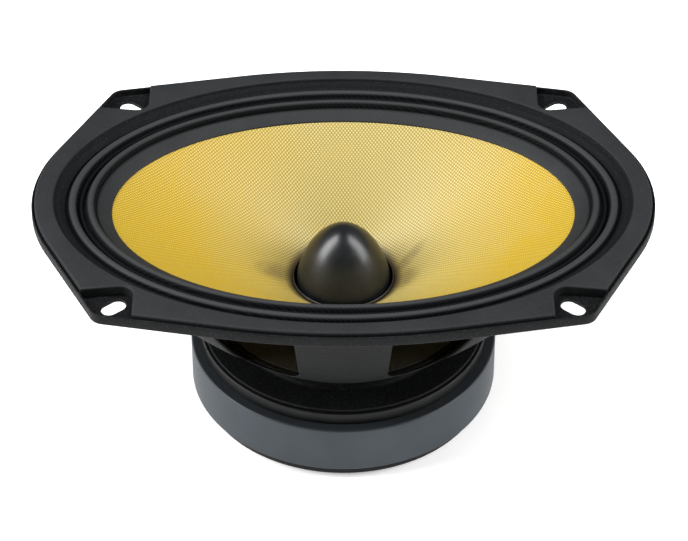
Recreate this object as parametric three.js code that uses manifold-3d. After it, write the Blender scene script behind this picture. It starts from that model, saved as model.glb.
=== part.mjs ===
// Oval 6 x 9 inch car loudspeaker: one cone, a ferrite magnet motor, and a fixed bullet-shaped
// phase plug that stands in the voice coil. Millimetres, +Z out of the front, +X along the long
// axis. The origin is the centre of the back plate's rear face.
import * as THREE from 'three';
import { mergeVertices } from 'three/addons/utils/BufferGeometryUtils.js';
import Module from 'manifold-3d';

const wasm = await Module();
wasm.setup();

// ---------------------------------------------------------------- driving dimensions (mm)
const GAP = 0.3;                 // clearance between pieces that are cut or stand on each other
const ROUND = 44;                // segments round the motor's circles
const OVAL = 52;                 // segments round the oval pieces
const BELOW_FLANGE = 80;         // cutting tools reach from here to ABOVE_LIP
const ABOVE_LIP = 99;
const BEYOND_OUTLINE = 140;      // past the flange in x and y

// flange outline
const HALF_LENGTH = 118.8;
const HALF_WIDTH = 82.4;
const END_RADIUS = 64;           // arc at each end of the long axis
const END_ANGLE = 27.2;          // degrees of that arc each side of the long axis
const SIDE_RADIUS = 230;         // arc along each long side
const SIDE_ANGLE = 10.5;         // degrees of that arc each side of the short axis
const CORNER_RADIUS = 6;

// flange, lip and gasket levels
const SHEET = 1.3;               // steel sheet thickness
const FLANGE_BOTTOM = 86.5;
const FLANGE_TOP = FLANGE_BOTTOM + SHEET;
const LIP_TOP = 90.8;
const LIP_WIDTH = 0.95;
const GASKET_TOP = 92.4;
const GASKET_INSET = 1.2;
const GASKET_INNER = 110.6;      // half length of the gasket's inner top edge
const GASKET_STEPS = [           // [half length, z] down the gasket's inner wall
  [109.9, 90.9], [108, 90.5], [107, 89.4], [106.1, 89.1],
];
const EAR_X = 77;                // the ears lie beyond this, clear of the gasket
const EAR_Y = 54;                // half width of the gasket where an ear begins
const EAR_SLOPE = 0.12;          // how much wider it gets per mm towards the end
const EAR_CORNER = 5;
const SLOT_X = 84.2;             // screw slot centres
const SLOT_Y = 61.3;
const SLOT_ANGLE = 40;           // degrees from the long axis
const SLOT_WIDTH = 6;
const SLOT_TRAVEL = 4;           // between the slot's two end centres

// oval family: the half width that goes with a half length
const CONE_EDGE = 88.4;
const CONE_EDGE_WIDTH = 56.4;
const OVAL_STEP = 3 / 22.2;      // extra difference of the half axes per mm outwards

// basket below the flange
const OPENING = 105.6;           // half length of the flange's inner edge
const WALL_TOP = 106;            // outside half length of the arms' wall where it meets the flange
const WALL_TOP_WIDTH = 71;
const LEDGE_RADIUS = 53.8;
const LEDGE_BOTTOM = 44;
const LEDGE_TOP = LEDGE_BOTTOM + SHEET;
const NECK_RADIUS = 43;
const BASE_RADIUS = 55;
const BASE_BORE = 32.5;
const WALL_BELLY_LENGTH = 0.68;  // 1 is a straight slope, less bellies outwards
const WALL_BELLY_WIDTH = 0.9;
const ARM_HALF_WIDTH = 16.4;     // front and rear arms at the ledge
const ARM_SPREAD = 2.9;          // how much wider each side of them is at the flange
const WINDOW_FAR = 38.3;         // far edge of a side window, from the short axis, at the ledge
const WINDOW_SPREAD = 21;
const END_WINDOW = 15;           // half width of an end window at the ledge
const END_WINDOW_SPREAD = 9;
const WINDOW_LOW = SHEET / (FLANGE_BOTTOM - LEDGE_BOTTOM);
const WINDOW_HEIGHTS = [WINDOW_LOW, 0.08, 0.25, 0.55, 0.93];
const WALL_HEIGHTS = [0, 0.08, 0.25, 0.55, 1.01];
const WINDOW_REACH = 6;          // how far a window's cutting block passes the wall
const BASE_CHAMFER = 0.6;
const NECK_FILLET = 1;

// magnet motor
const PLATE_THICKNESS = 5;
const BACK_PLATE_RADIUS = 56.9;
const MAGNET_RADIUS = 60;
const MAGNET_BORE = 30;
const MAGNET_THICKNESS = 20;
const TOP_PLATE_RADIUS = 56.2;
const TOP_PLATE_THICKNESS = 5.2;
const PLATE_CHAMFER = 0.5;
const BACK_PLATE_CHAMFER = 0.8;
const MAGNET_CHAMFER = 0.6;
const MAGNET_TOP = PLATE_THICKNESS + MAGNET_THICKNESS;
const BASE_BOTTOM = MAGNET_TOP + TOP_PLATE_THICKNESS;
const BASE_TOP = BASE_BOTTOM + SHEET;
const POLE_RADIUS = 18.5;
const POLE_TOP = 33;
const AIR_GAP_RADIUS = 21.4;

// screws that hold the basket on the motor
const SCREW_CIRCLE = 37.2;
const SCREW_RADIUS = 2;
const SCREW_LENGTH = 4.5;        // below the basket's base
const SCREW_HOLE = SCREW_RADIUS + GAP;

// voice coil, cone and suspension
const FORMER_INNER = 19.2;
const FORMER_OUTER = 19.7;
const FORMER_BOTTOM = 13;
const FORMER_TOP = 52.6;
const COIL_OUTER = 20.6;
const COIL_BOTTOM = 19.6;
const COIL_TOP = 35.6;
const CONE_NECK = 20.05;
const CONE_NECK_Z = 51.7;
const CONE_EDGE_Z = 84.5;
const CONE_BOW = 0.1;            // how far the cone's slope eases off towards its edge
const CONE_SKIN = 0.8;
const CONE_STATIONS = [0, 0.2, 0.45, 0.7, 1];
const CONE_LIP = 92.6;           // half length where the cone ends, under the surround
const EDGE_LAND = 109.2;         // half length of the surround's flat outer edge
const EDGE_INNER = 105.9;
const EDGE_SKIN = 0.6;
const EDGE_TOP = FLANGE_TOP + 0.05 + EDGE_SKIN;
const ROLLS = [
  { centre: 103.3, half: 1.8, foot: EDGE_TOP, height: 2.15 },
  { centre: 99.9, half: 0.9, foot: 87.6, height: 1.5 },
  { centre: 96.35, half: 2.05, foot: 87.6, height: 2.75 },
];
const ROLL_STEPS = [1, 0.55, -0.55, -1];
const LAND_OUTER = [94.1, 87.75];
const LAND_RISE = 0.65;          // the land's upper face above the cone's edge
const SPIDER_OUTER = 52;
const SPIDER_SKIN = 0.7;
const SPIDER_WAVES = 4;
const SPIDER_WAVE_HEIGHT = 1.4;
const SPIDER_WAVES_START = 23.5;
const SPIDER_WAVES_END = 40.5;

// phase plug and its screw
const PLUG_RADIUS = 18;
const PLUG_SHOULDER = 53;
const PLUG_HEIGHT = 23.3;        // from the shoulder to the tip
const PLUG_SWELL = 1.43;         // powers of the bullet's outline
const PLUG_TIP = 0.53;
const PLUG_STEPS = 8;
const PLUG_SCREW_RADIUS = 2.5;
const PLUG_SCREW_TOP = 51.5;
const PLUG_SCREW_HEAD = 4.6;
const PLUG_SCREW_SINK = 0.5;     // the head's face, in from the back plate's
const HEX_RADIUS = 1.6;
const HEX_DEPTH = 1.1;
const COUNTERBORE_RADIUS = 5.4;
const COUNTERBORE_DEPTH = 3.4;

// terminal board on the rear arm
const BOARD_HEIGHT = 0.5;        // how far up the arm, from 0 at the ledge to 1 at the flange
const BOARD_GAP = 0.5;
const BOARD_LENGTH = 50;
const BOARD_WIDTH = 13;
const BOARD_THICKNESS = 1.6;
const BOARD_FACE = BOARD_GAP + BOARD_THICKNESS;
const RIVET_OFFSET = 9;
const RIVET_RADIUS = 1.6;
const RIVET_TAIL = 1.6;          // room between the arm's inside and the rivet's tail
const TAB_OFFSET = 20.6;
const TAB_WIDTHS = { positive: 6.3, negative: 4.8 };
const TAB_THICKNESS = 0.8;
const TAB_FOOT = 8;
const TAB_BLADE = 9;
const EYELET_RADIUS = 1.1;
const EYELET_END = -1.2;         // behind the board
const LEAD_RADIUS = 0.9;
const LEAD_WAY = [[22, 47, 57], [24, 35, 54.5], [26, 23, 55], [26.5, 16, 56.5]];
const ARM_LEAN = Math.atan2(WALL_TOP_WIDTH - LEDGE_RADIUS, FLANGE_BOTTOM - LEDGE_BOTTOM);

const radians = THREE.MathUtils.degToRad;

// ---------------------------------------------------------------- materials
function material(colour, roughness, metalness) {
  return new THREE.MeshStandardMaterial({ color: colour, roughness, metalness });
}
const POWDER_COAT = material(0x2b2b2d, 0.75, 0.1);
const RUBBER = material(0x2f3032, 0.85, 0);
const DOPED_CLOTH = material(0x303133, 0.8, 0);
const YELLOW_WEAVE = material(0xd9b64c, 0.5, 0);
const SATIN_BLACK = material(0x222224, 0.35, 0.1);
const FERRITE = material(0x55565a, 0.6, 0.1);
const BLACK_STEEL = material(0x1c1c1e, 0.5, 0.6);
const BRIGHT_STEEL = material(0xa9abae, 0.35, 0.9);
const ALUMINIUM = material(0xb9bbbe, 0.35, 0.9);
const COPPER = material(0xb4693c, 0.4, 0.9);
const BRASS = material(0xb5954e, 0.35, 0.9);
const SPIDER_CLOTH = material(0x9a7b3c, 0.9, 0);
const FIBRE_BOARD = material(0x3a2c22, 0.8, 0);

// ---------------------------------------------------------------- solids and booleans
function solid(geometry) {
  const bare = geometry.clone();
  bare.deleteAttribute('normal');
  bare.deleteAttribute('uv');
  const merged = mergeVertices(bare, 1e-4);
  return new wasm.Manifold(new wasm.Mesh({
    numProp: 3,
    vertProperties: new Float32Array(merged.attributes.position.array),
    triVerts: new Uint32Array(merged.index.array),
  }));
}

function geometryOf(body) {
  const mesh = body.getMesh();
  const geometry = new THREE.BufferGeometry();
  geometry.setAttribute('position', new THREE.BufferAttribute(mesh.vertProperties, 3));
  geometry.setIndex(new THREE.BufferAttribute(mesh.triVerts, 1));
  geometry.computeVertexNormals();
  return geometry;
}

function cut(geometry, ...tools) {
  let body = solid(geometry);
  for (const tool of tools) body = body.subtract(solid(tool));
  return geometryOf(body);
}

function join(geometry, ...others) {
  let body = solid(geometry);
  for (const other of others) body = body.add(solid(other));
  return geometryOf(body);
}

// A profile of [radius, z] points, given anticlockwise, turned about the axis.
function turned(profile, segments = ROUND) {
  const points = [...profile, profile[0]].map(([radius, z]) => new THREE.Vector2(radius, z));
  return new THREE.LatheGeometry(points, segments).rotateX(Math.PI / 2);
}

// A profile that starts and ends on the axis.
function turnedSolid(profile, segments = ROUND) {
  const points = profile.map(([radius, z]) => new THREE.Vector2(radius, z));
  return new THREE.LatheGeometry(points, segments).rotateX(Math.PI / 2);
}

function rod(radius, bottom, top, segments = 24) {
  return new THREE.CylinderGeometry(radius, radius, top - bottom, segments)
    .rotateX(Math.PI / 2)
    .translate(0, 0, (bottom + top) / 2);
}

function prism(points, bottom, top) {
  const shape = new THREE.Shape(points);
  const options = { depth: top - bottom, bevelEnabled: false, steps: 1 };
  return new THREE.ExtrudeGeometry(shape, options).translate(0, 0, bottom);
}

// A closed skin over rings of points. The rings go anticlockwise round the section and close on
// the first one; a capped skin is closed by its first and last rings instead.
function skin(rings, { capped = false } = {}) {
  const count = rings[0].length;
  const positions = rings.flat().flatMap((point) => [point.x, point.y, point.z]);
  const index = [];
  const bands = capped ? rings.length - 1 : rings.length;
  for (let i = 0; i < bands; i++) {
    const next = (i + 1) % rings.length;
    for (let j = 0; j < count; j++) {
      const k = (j + 1) % count;
      const [a, b, c, d] = [i * count + j, i * count + k, next * count + j, next * count + k];
      index.push(a, b, c, c, b, d);
    }
  }
  if (capped) {
    const last = (rings.length - 1) * count;
    for (let j = 1; j < count - 1; j++) {
      index.push(0, j + 1, j);
      index.push(last, last + j, last + j + 1);
    }
  }
  const geometry = new THREE.BufferGeometry();
  geometry.setAttribute('position', new THREE.Float32BufferAttribute(positions, 3));
  geometry.setIndex(index);
  geometry.computeVertexNormals();
  return geometry;
}

// ---------------------------------------------------------------- the oval family
function halfWidth(halfLength) {
  const difference = CONE_EDGE - CONE_EDGE_WIDTH;
  return halfLength - difference - OVAL_STEP * (halfLength - CONE_EDGE);
}

function ring(halfLength, width, z, segments = OVAL) {
  return Array.from({ length: segments }, (_, i) => {
    const angle = (2 * Math.PI * i) / segments;
    return new THREE.Vector3(halfLength * Math.cos(angle), width * Math.sin(angle), z);
  });
}

// A closed profile of [half length, z] points, given anticlockwise, carried round the oval.
function ovalRing(profile, segments = OVAL) {
  return skin(profile.map(([length, z]) => ring(length, halfWidth(length), z, segments)));
}

function ovalPlug(halfLength, bottom, top) {
  const width = halfWidth(halfLength);
  return skin([ring(halfLength, width, bottom), ring(halfLength, width, top)], { capped: true });
}

// ---------------------------------------------------------------- flange outline
// Arcs whose ends share a direction; the straight stretches join one arc to the next, and an
// inset only shortens the radii.
function quadrantArcs() {
  const endCentre = new THREE.Vector2(HALF_LENGTH - END_RADIUS, 0);
  const sideCentre = new THREE.Vector2(0, HALF_WIDTH - SIDE_RADIUS);
  const from = radians(END_ANGLE);
  const to = radians(90 - SIDE_ANGLE);
  const u = new THREE.Vector2(Math.cos(from), Math.sin(from));
  const v = new THREE.Vector2(Math.cos(to), Math.sin(to));
  const alongU = endCentre.dot(u) + END_RADIUS - CORNER_RADIUS;
  const alongV = sideCentre.dot(v) + SIDE_RADIUS - CORNER_RADIUS;
  const cross = u.x * v.y - u.y * v.x;
  const corner = new THREE.Vector2(
    (alongU * v.y - alongV * u.y) / cross,
    (alongV * u.x - alongU * v.x) / cross,
  );
  return [
    { centre: endCentre, radius: END_RADIUS, from: 0, to: from, steps: 6 },
    { centre: corner, radius: CORNER_RADIUS, from, to, steps: 6 },
    { centre: sideCentre, radius: SIDE_RADIUS, from: to, to: Math.PI / 2, steps: 6 },
  ];
}

function outline(inset) {
  const quadrant = [];
  for (const arc of quadrantArcs()) {
    for (let i = 0; i <= arc.steps; i++) {
      const angle = arc.from + ((arc.to - arc.from) * i) / arc.steps;
      const reach = arc.radius - inset;
      quadrant.push([arc.centre.x + reach * Math.cos(angle), arc.centre.y + reach * Math.sin(angle)]);
    }
  }
  const back = [...quadrant].reverse().slice(1).map(([x, y]) => [-x, y]);
  const upper = [...quadrant, ...back];
  const lower = [...upper].reverse().slice(1, -1).map(([x, y]) => [x, -y]);
  return [...upper, ...lower].map(([x, y]) => new THREE.Vector2(x, y));
}

// One shape repeated in the four quadrants by mirroring its points.
function inEachQuadrant(make) {
  const signs = [[1, 1], [-1, 1], [-1, -1], [1, -1]];
  return signs.map(([x, y]) => make(x, y));
}

function mirrored(points, x, y) {
  const moved = points.map((point) => new THREE.Vector2(point.x * x, point.y * y));
  return x * y < 0 ? moved.reverse() : moved;
}

function slotPoints() {
  const along = radians(SLOT_ANGLE);
  const steps = 8;
  const points = [];
  for (const [side, start] of [[1, along - Math.PI / 2], [-1, along + Math.PI / 2]]) {
    const x = SLOT_X + side * (SLOT_TRAVEL / 2) * Math.cos(along);
    const y = SLOT_Y + side * (SLOT_TRAVEL / 2) * Math.sin(along);
    for (let i = 0; i <= steps; i++) {
      const angle = start + (Math.PI * i) / steps;
      points.push(new THREE.Vector2(
        x + (SLOT_WIDTH / 2) * Math.cos(angle),
        y + (SLOT_WIDTH / 2) * Math.sin(angle),
      ));
    }
  }
  return points;
}

// The ear's clear corner: everything beyond EAR_X and EAR_Y, with a rounded inner corner.
function earPoints() {
  const far = BEYOND_OUTLINE;
  const steps = 5;
  const points = [new THREE.Vector2(far, EAR_Y + EAR_SLOPE * (far - EAR_X))];
  points.push(new THREE.Vector2(far, far), new THREE.Vector2(EAR_X, far));
  for (let i = 0; i <= steps; i++) {
    const angle = Math.PI + (Math.PI / 2) * (i / steps);
    points.push(new THREE.Vector2(
      EAR_X + EAR_CORNER + EAR_CORNER * Math.cos(angle),
      EAR_Y + EAR_CORNER + EAR_CORNER * Math.sin(angle),
    ));
  }
  return points;
}

// ---------------------------------------------------------------- basket
// The half length and half width of the arms' wall at a height from 0 at the ledge to 1 at the
// flange. The wall bellies out more along the long axis.
function wallAxes(height) {
  return {
    length: LEDGE_RADIUS + (WALL_TOP - LEDGE_RADIUS) * height ** WALL_BELLY_LENGTH,
    width: LEDGE_RADIUS + (WALL_TOP_WIDTH - LEDGE_RADIUS) * height ** WALL_BELLY_WIDTH,
  };
}

// A point of the wall: angle in degrees, and a distance in from the outside face.
function wallPoint(angle, height, inwards) {
  const turn = radians(angle);
  const { length, width } = wallAxes(height);
  const z = LEDGE_BOTTOM + (FLANGE_BOTTOM - LEDGE_BOTTOM) * height;
  return new THREE.Vector3((length - inwards) * Math.cos(turn), (width - inwards) * Math.sin(turn), z);
}

function wallRing(height, inwards) {
  return Array.from({ length: OVAL }, (_, i) => wallPoint((360 * i) / OVAL, height, inwards));
}

function armWall() {
  const outside = WALL_HEIGHTS.map((height) => wallRing(height, 0));
  const inside = WALL_HEIGHTS.map((height) => wallRing(height, SHEET)).reverse();
  return skin([...outside, ...inside]);
}

// A block that passes through the wall for one window. edges gives the window's first and last
// angle at a height.
function windowBlock(edges) {
  const steps = 6;
  const sections = [];
  for (let i = 0; i <= steps; i++) {
    const at = (height, inwards) => {
      const [from, to] = edges(height);
      return wallPoint(from + ((to - from) * i) / steps, height, inwards);
    };
    const inner = WINDOW_HEIGHTS.map((height) => at(height, WINDOW_REACH));
    const outer = WINDOW_HEIGHTS.map((height) => at(height, -WINDOW_REACH)).reverse();
    sections.push([...inner, ...outer]);
  }
  return skin(sections, { capped: true });
}

// The side windows lie between the straight edge of the front or rear arm and a slanting edge.
function sideWindowEdges(height) {
  const { length } = wallAxes(height);
  const near = ARM_HALF_WIDTH + ARM_SPREAD * height;
  const far = WINDOW_FAR + WINDOW_SPREAD * height;
  return [far, near].map((x) => THREE.MathUtils.radToDeg(Math.acos(x / length)));
}

function endWindowEdges(height) {
  const { width } = wallAxes(height);
  const reach = (END_WINDOW + END_WINDOW_SPREAD * height) / width;
  const angle = THREE.MathUtils.radToDeg(Math.asin(reach));
  return [-angle, angle];
}

function windowBlocks() {
  const sides = [
    sideWindowEdges,
    (height) => sideWindowEdges(height).map((angle) => 180 - angle).reverse(),
    (height) => sideWindowEdges(height).map((angle) => 180 + angle),
    (height) => sideWindowEdges(height).map((angle) => -angle).reverse(),
  ];
  const ends = [endWindowEdges, (height) => endWindowEdges(height).map((angle) => 180 + angle)];
  return [...sides, ...ends].map(windowBlock);
}

function basketBowl() {
  const neckInner = NECK_RADIUS - SHEET;
  return turned([
    [BASE_BORE, BASE_BOTTOM],
    [BASE_RADIUS - BASE_CHAMFER, BASE_BOTTOM],
    [BASE_RADIUS, BASE_BOTTOM + BASE_CHAMFER],
    [BASE_RADIUS - BASE_CHAMFER, BASE_TOP],
    [NECK_RADIUS + NECK_FILLET, BASE_TOP],
    [NECK_RADIUS, BASE_TOP + NECK_FILLET],
    [NECK_RADIUS, LEDGE_BOTTOM],
    [LEDGE_RADIUS, LEDGE_BOTTOM],
    [LEDGE_RADIUS, LEDGE_TOP],
    [neckInner, LEDGE_TOP],
    [neckInner, BASE_TOP],
    [BASE_BORE, BASE_TOP],
  ], OVAL);
}

function screwPlaces() {
  return [45, 135, 225, 315].map((angle) => [
    SCREW_CIRCLE * Math.cos(radians(angle)),
    SCREW_CIRCLE * Math.sin(radians(angle)),
  ]);
}

function screwHoles() {
  return screwPlaces().map(([x, y]) => rod(SCREW_HOLE, MAGNET_TOP - 2, BASE_TOP + 2, 16).translate(x, y, 0));
}

// A hole of one outline in each quadrant, right through the flange and the gasket.
function flangeCuts(points) {
  return inEachQuadrant((x, y) => prism(mirrored(points, x, y), BELOW_FLANGE, ABOVE_LIP));
}

function basket() {
  const tray = prism(outline(LIP_WIDTH), FLANGE_TOP, ABOVE_LIP);
  const pan = cut(prism(outline(0), FLANGE_BOTTOM, LIP_TOP), tray);
  const mouth = ovalPlug(OPENING, BELOW_FLANGE, ABOVE_LIP);
  const flange = cut(pan, mouth, ...flangeCuts(slotPoints()));
  const wall = cut(armWall(), ...windowBlocks());
  return cut(join(flange, wall, basketBowl()), ...screwHoles(), ...rivetHoles());
}

function frontGasket() {
  const body = prism(outline(GASKET_INSET), FLANGE_TOP, GASKET_TOP);
  const foot = GASKET_STEPS.at(-1)[0];
  const steps = [[foot, FLANGE_TOP - 1], ...[...GASKET_STEPS].reverse()];
  steps.push([GASKET_INNER, GASKET_TOP], [GASKET_INNER + 0.4, GASKET_TOP + 1]);
  const rings = steps.map(([length, z]) => ring(length, halfWidth(length), z));
  const hollow = skin(rings, { capped: true });
  const seat = ovalPlug(EDGE_LAND + GAP, FLANGE_TOP - 1, EDGE_TOP + GAP);
  return cut(body, hollow, seat, ...flangeCuts(earPoints()));
}

// ---------------------------------------------------------------- surround, cone and spider
// The surround's upper face from its outer edge to the cone: flat edge, outer roll, small
// middle ridge, inner roll, and the land glued on the cone.
function surroundLine() {
  const line = [[EDGE_LAND, EDGE_TOP], [EDGE_INNER, EDGE_TOP]];
  for (const { centre, half, foot, height } of ROLLS) {
    for (const step of ROLL_STEPS) {
      line.push([centre + half * step, foot + height * Math.sqrt(1 - step * step)]);
    }
  }
  line.push(LAND_OUTER, [CONE_EDGE, CONE_EDGE_Z + LAND_RISE]);
  return line;
}

function surround() {
  const top = surroundLine();
  const under = top.map(([length, z]) => [length, z - EDGE_SKIN]);
  return ovalRing([...under.reverse(), ...top]);
}

// A point of the cone's front face: station 0 is the neck and 1 the inner edge of the land.
function conePoint(station, drop) {
  const rise = station * (1 + CONE_BOW * (1 - station));
  return {
    length: CONE_NECK + (CONE_EDGE - CONE_NECK) * station,
    width: CONE_NECK + (CONE_EDGE_WIDTH - CONE_NECK) * station,
    z: CONE_NECK_Z + (CONE_EDGE_Z - CONE_NECK_Z) * rise - drop,
  };
}

// The cone's edge runs on under the land, at the land's slope.
function cone() {
  const slope = (LAND_OUTER[1] - LAND_RISE - CONE_EDGE_Z) / (LAND_OUTER[0] - CONE_EDGE);
  const lipZ = CONE_EDGE_Z + slope * (CONE_LIP - CONE_EDGE);
  const lip = { length: CONE_LIP, width: halfWidth(CONE_LIP) };
  const face = CONE_STATIONS.map((station) => conePoint(station, 0));
  const back = CONE_STATIONS.map((station) => conePoint(station, CONE_SKIN));
  const line = [...back, { ...lip, z: lipZ - CONE_SKIN }, { ...lip, z: lipZ }, ...face.reverse()];
  return skin(line.map(({ length, width, z }) => ring(length, width, z)));
}

// A corrugated disc: a short collar at the coil former, waves, and a flat edge on the ledge.
function spider() {
  const level = LEDGE_TOP + 0.05;
  const line = [[FORMER_OUTER + GAP, level + 1.8], [SPIDER_WAVES_START - 1.5, level]];
  const step = (SPIDER_WAVES_END - SPIDER_WAVES_START) / (2 * SPIDER_WAVES);
  for (let i = 0; i < 2 * SPIDER_WAVES; i++) {
    const lift = i % 2 === 0 ? SPIDER_WAVE_HEIGHT : -SPIDER_WAVE_HEIGHT;
    line.push([SPIDER_WAVES_START + (i + 0.5) * step, level + lift]);
  }
  line.push([SPIDER_WAVES_END + 0.6, level], [SPIDER_OUTER, level]);
  const top = line.map(([radius, z]) => [radius, z + SPIDER_SKIN]).reverse();
  return turned([...line, ...top]);
}

function voiceCoilFormer() {
  return turned([
    [FORMER_INNER, FORMER_BOTTOM],
    [FORMER_OUTER, FORMER_BOTTOM],
    [FORMER_OUTER, FORMER_TOP],
    [FORMER_INNER, FORMER_TOP],
  ]);
}

function voiceCoilWinding() {
  const inner = FORMER_OUTER + 0.05;
  return turned([
    [inner, COIL_BOTTOM],
    [COIL_OUTER, COIL_BOTTOM],
    [COIL_OUTER, COIL_TOP],
    [inner, COIL_TOP],
  ]);
}

// ---------------------------------------------------------------- magnet motor
function chamferedRing(inner, outer, bottom, top, chamfer) {
  return turned([
    [inner, bottom],
    [outer - chamfer, bottom],
    [outer, bottom + chamfer],
    [outer, top - chamfer],
    [outer - chamfer, top],
    [inner, top],
  ]);
}

function magnet() {
  return chamferedRing(MAGNET_BORE, MAGNET_RADIUS, PLATE_THICKNESS, MAGNET_TOP, MAGNET_CHAMFER);
}

function topPlate() {
  const body = chamferedRing(AIR_GAP_RADIUS, TOP_PLATE_RADIUS, MAGNET_TOP, BASE_BOTTOM, PLATE_CHAMFER);
  return cut(body, ...screwHoles());
}

function backPlate() {
  const bore = PLUG_SCREW_RADIUS + GAP;
  return turned([
    [bore, COUNTERBORE_DEPTH],
    [COUNTERBORE_RADIUS, COUNTERBORE_DEPTH],
    [COUNTERBORE_RADIUS, 0],
    [BACK_PLATE_RADIUS - BACK_PLATE_CHAMFER, 0],
    [BACK_PLATE_RADIUS, BACK_PLATE_CHAMFER],
    [BACK_PLATE_RADIUS, PLATE_THICKNESS],
    [bore, PLATE_THICKNESS],
  ]);
}

function polePiece() {
  const bore = PLUG_SCREW_RADIUS + GAP;
  return turned([
    [bore, PLATE_THICKNESS],
    [POLE_RADIUS, PLATE_THICKNESS],
    [POLE_RADIUS, POLE_TOP - PLATE_CHAMFER],
    [POLE_RADIUS - PLATE_CHAMFER, POLE_TOP],
    [bore, POLE_TOP],
  ]);
}

// A straight foot on the pole piece, and a bullet above the shoulder.
function phasePlug() {
  const bore = PLUG_SCREW_RADIUS + GAP;
  const boreTop = PLUG_SCREW_TOP + 1;
  const profile = [[0, boreTop], [bore, boreTop], [bore, POLE_TOP]];
  profile.push([PLUG_RADIUS - 0.5, POLE_TOP], [PLUG_RADIUS, POLE_TOP + 0.5]);
  for (let i = 0; i < PLUG_STEPS; i++) {
    const part = i / PLUG_STEPS;
    const radius = PLUG_RADIUS * (1 - part ** PLUG_SWELL) ** PLUG_TIP;
    profile.push([radius, PLUG_SHOULDER + PLUG_HEIGHT * part]);
  }
  profile.push([0, PLUG_SHOULDER + PLUG_HEIGHT]);
  return turnedSolid(profile);
}

// A socket screw up through the pole piece, its head sunk in the back plate.
function phasePlugScrew() {
  const face = PLUG_SCREW_SINK;
  return turnedSolid([
    [0, face + HEX_DEPTH],
    [HEX_RADIUS, face + HEX_DEPTH],
    [HEX_RADIUS, face],
    [PLUG_SCREW_HEAD - 0.4, face],
    [PLUG_SCREW_HEAD, face + 0.4],
    [PLUG_SCREW_HEAD, COUNTERBORE_DEPTH],
    [PLUG_SCREW_RADIUS, COUNTERBORE_DEPTH],
    [PLUG_SCREW_RADIUS, PLUG_SCREW_TOP],
    [0, PLUG_SCREW_TOP],
  ], 24);
}

// A screw with a pan head: [radius, height above the basket's base] of the head.
function basketScrew() {
  const head = [[3.6, 0], [3.6, 1.2], [2.4, 2.3], [0, 2.5]];
  return turnedSolid([
    [0, BASE_BOTTOM - SCREW_LENGTH],
    [SCREW_RADIUS, BASE_BOTTOM - SCREW_LENGTH],
    [SCREW_RADIUS, BASE_TOP],
    ...head.map(([radius, height]) => [radius, BASE_TOP + height]),
  ], 12);
}

// ---------------------------------------------------------------- terminals and leads
// These are made in the board's own frame, with +Z out of the rear arm's outer face and +X
// along the board, and then moved onto the arm.
function onRearArm(geometry) {
  const foot = wallPoint(90, BOARD_HEIGHT, 0);
  const upright = new THREE.Matrix4().makeRotationX(-Math.PI / 2 - ARM_LEAN);
  const place = new THREE.Matrix4().makeTranslation(foot.x, foot.y, foot.z);
  return geometry.applyMatrix4(upright).applyMatrix4(place);
}

// A pair of rods through the board and the arm, at equal offsets along the board.
function boardHoles(radius, offset) {
  return [-1, 1].map((side) => rod(radius + GAP, -8, 4, 16).translate(side * offset, 0, 0));
}

function rivetHoles() {
  return boardHoles(RIVET_RADIUS, RIVET_OFFSET).map(onRearArm);
}

function terminalBoard() {
  const block = new THREE.BoxGeometry(BOARD_LENGTH, BOARD_WIDTH, BOARD_THICKNESS)
    .translate(0, 0, BOARD_GAP + BOARD_THICKNESS / 2);
  const holes = [...boardHoles(RIVET_RADIUS, RIVET_OFFSET), ...boardHoles(EYELET_RADIUS, TAB_OFFSET)];
  return onRearArm(cut(block, ...holes));
}

// A rivet: head outside the board, shank through board and arm, tail inside the arm.
function terminalRivet(side) {
  const outside = BOARD_FACE + 0.1;
  const inside = -SHEET - RIVET_TAIL;
  return onRearArm(turnedSolid([
    [0, inside - 1],
    [2.2, inside - 1],
    [2.6, inside],
    [RIVET_RADIUS, inside],
    [RIVET_RADIUS, outside],
    [3, outside],
    [2.4, outside + 1.2],
    [0, outside + 1.5],
  ], 16).translate(side * RIVET_OFFSET, 0, 0));
}

// A tab: a lug on the board, a blade that stands out from it, and an eyelet through the board.
function terminalTab(side, width) {
  const outside = BOARD_FACE + 0.1;
  const edge = (TAB_THICKNESS - TAB_FOOT) / 2;
  const lug = new THREE.BoxGeometry(width, TAB_FOOT, TAB_THICKNESS)
    .translate(0, 0, outside + TAB_THICKNESS / 2);
  const blade = new THREE.BoxGeometry(width, TAB_THICKNESS, TAB_BLADE)
    .translate(0, edge, outside + TAB_BLADE / 2);
  const eyelet = rod(EYELET_RADIUS, EYELET_END, outside + TAB_THICKNESS / 2, 16);
  const tab = join(lug, blade, eyelet);
  return onRearArm(tab.translate(side * TAB_OFFSET, 0, 0));
}

// The braided lead from behind the tab's eyelet, through a window, to the back of the cone.
function tinselLead(side) {
  const starts = [EYELET_END - 0.4, EYELET_END - 3.8];
  const points = starts.map((z) => new THREE.Vector3(side * TAB_OFFSET, 0, z));
  const start = onRearArm(new THREE.BufferGeometry().setFromPoints(points)).attributes.position;
  const curve = new THREE.CatmullRomCurve3([
    ...starts.map((_, i) => new THREE.Vector3().fromBufferAttribute(start, i)),
    ...LEAD_WAY.map(([x, y, z]) => new THREE.Vector3(side * x, y, z)),
  ]);
  const section = new THREE.Shape();
  section.absarc(0, 0, LEAD_RADIUS, 0, 2 * Math.PI);
  return new THREE.ExtrudeGeometry(section, { extrudePath: curve, steps: 16, curveSegments: 4 });
}

// ---------------------------------------------------------------- assembly
const speaker = new THREE.Group();

function add(name, geometry, look, parent = speaker) {
  const mesh = new THREE.Mesh(geometry, look);
  mesh.name = name;
  parent.add(mesh);
  return mesh;
}

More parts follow.
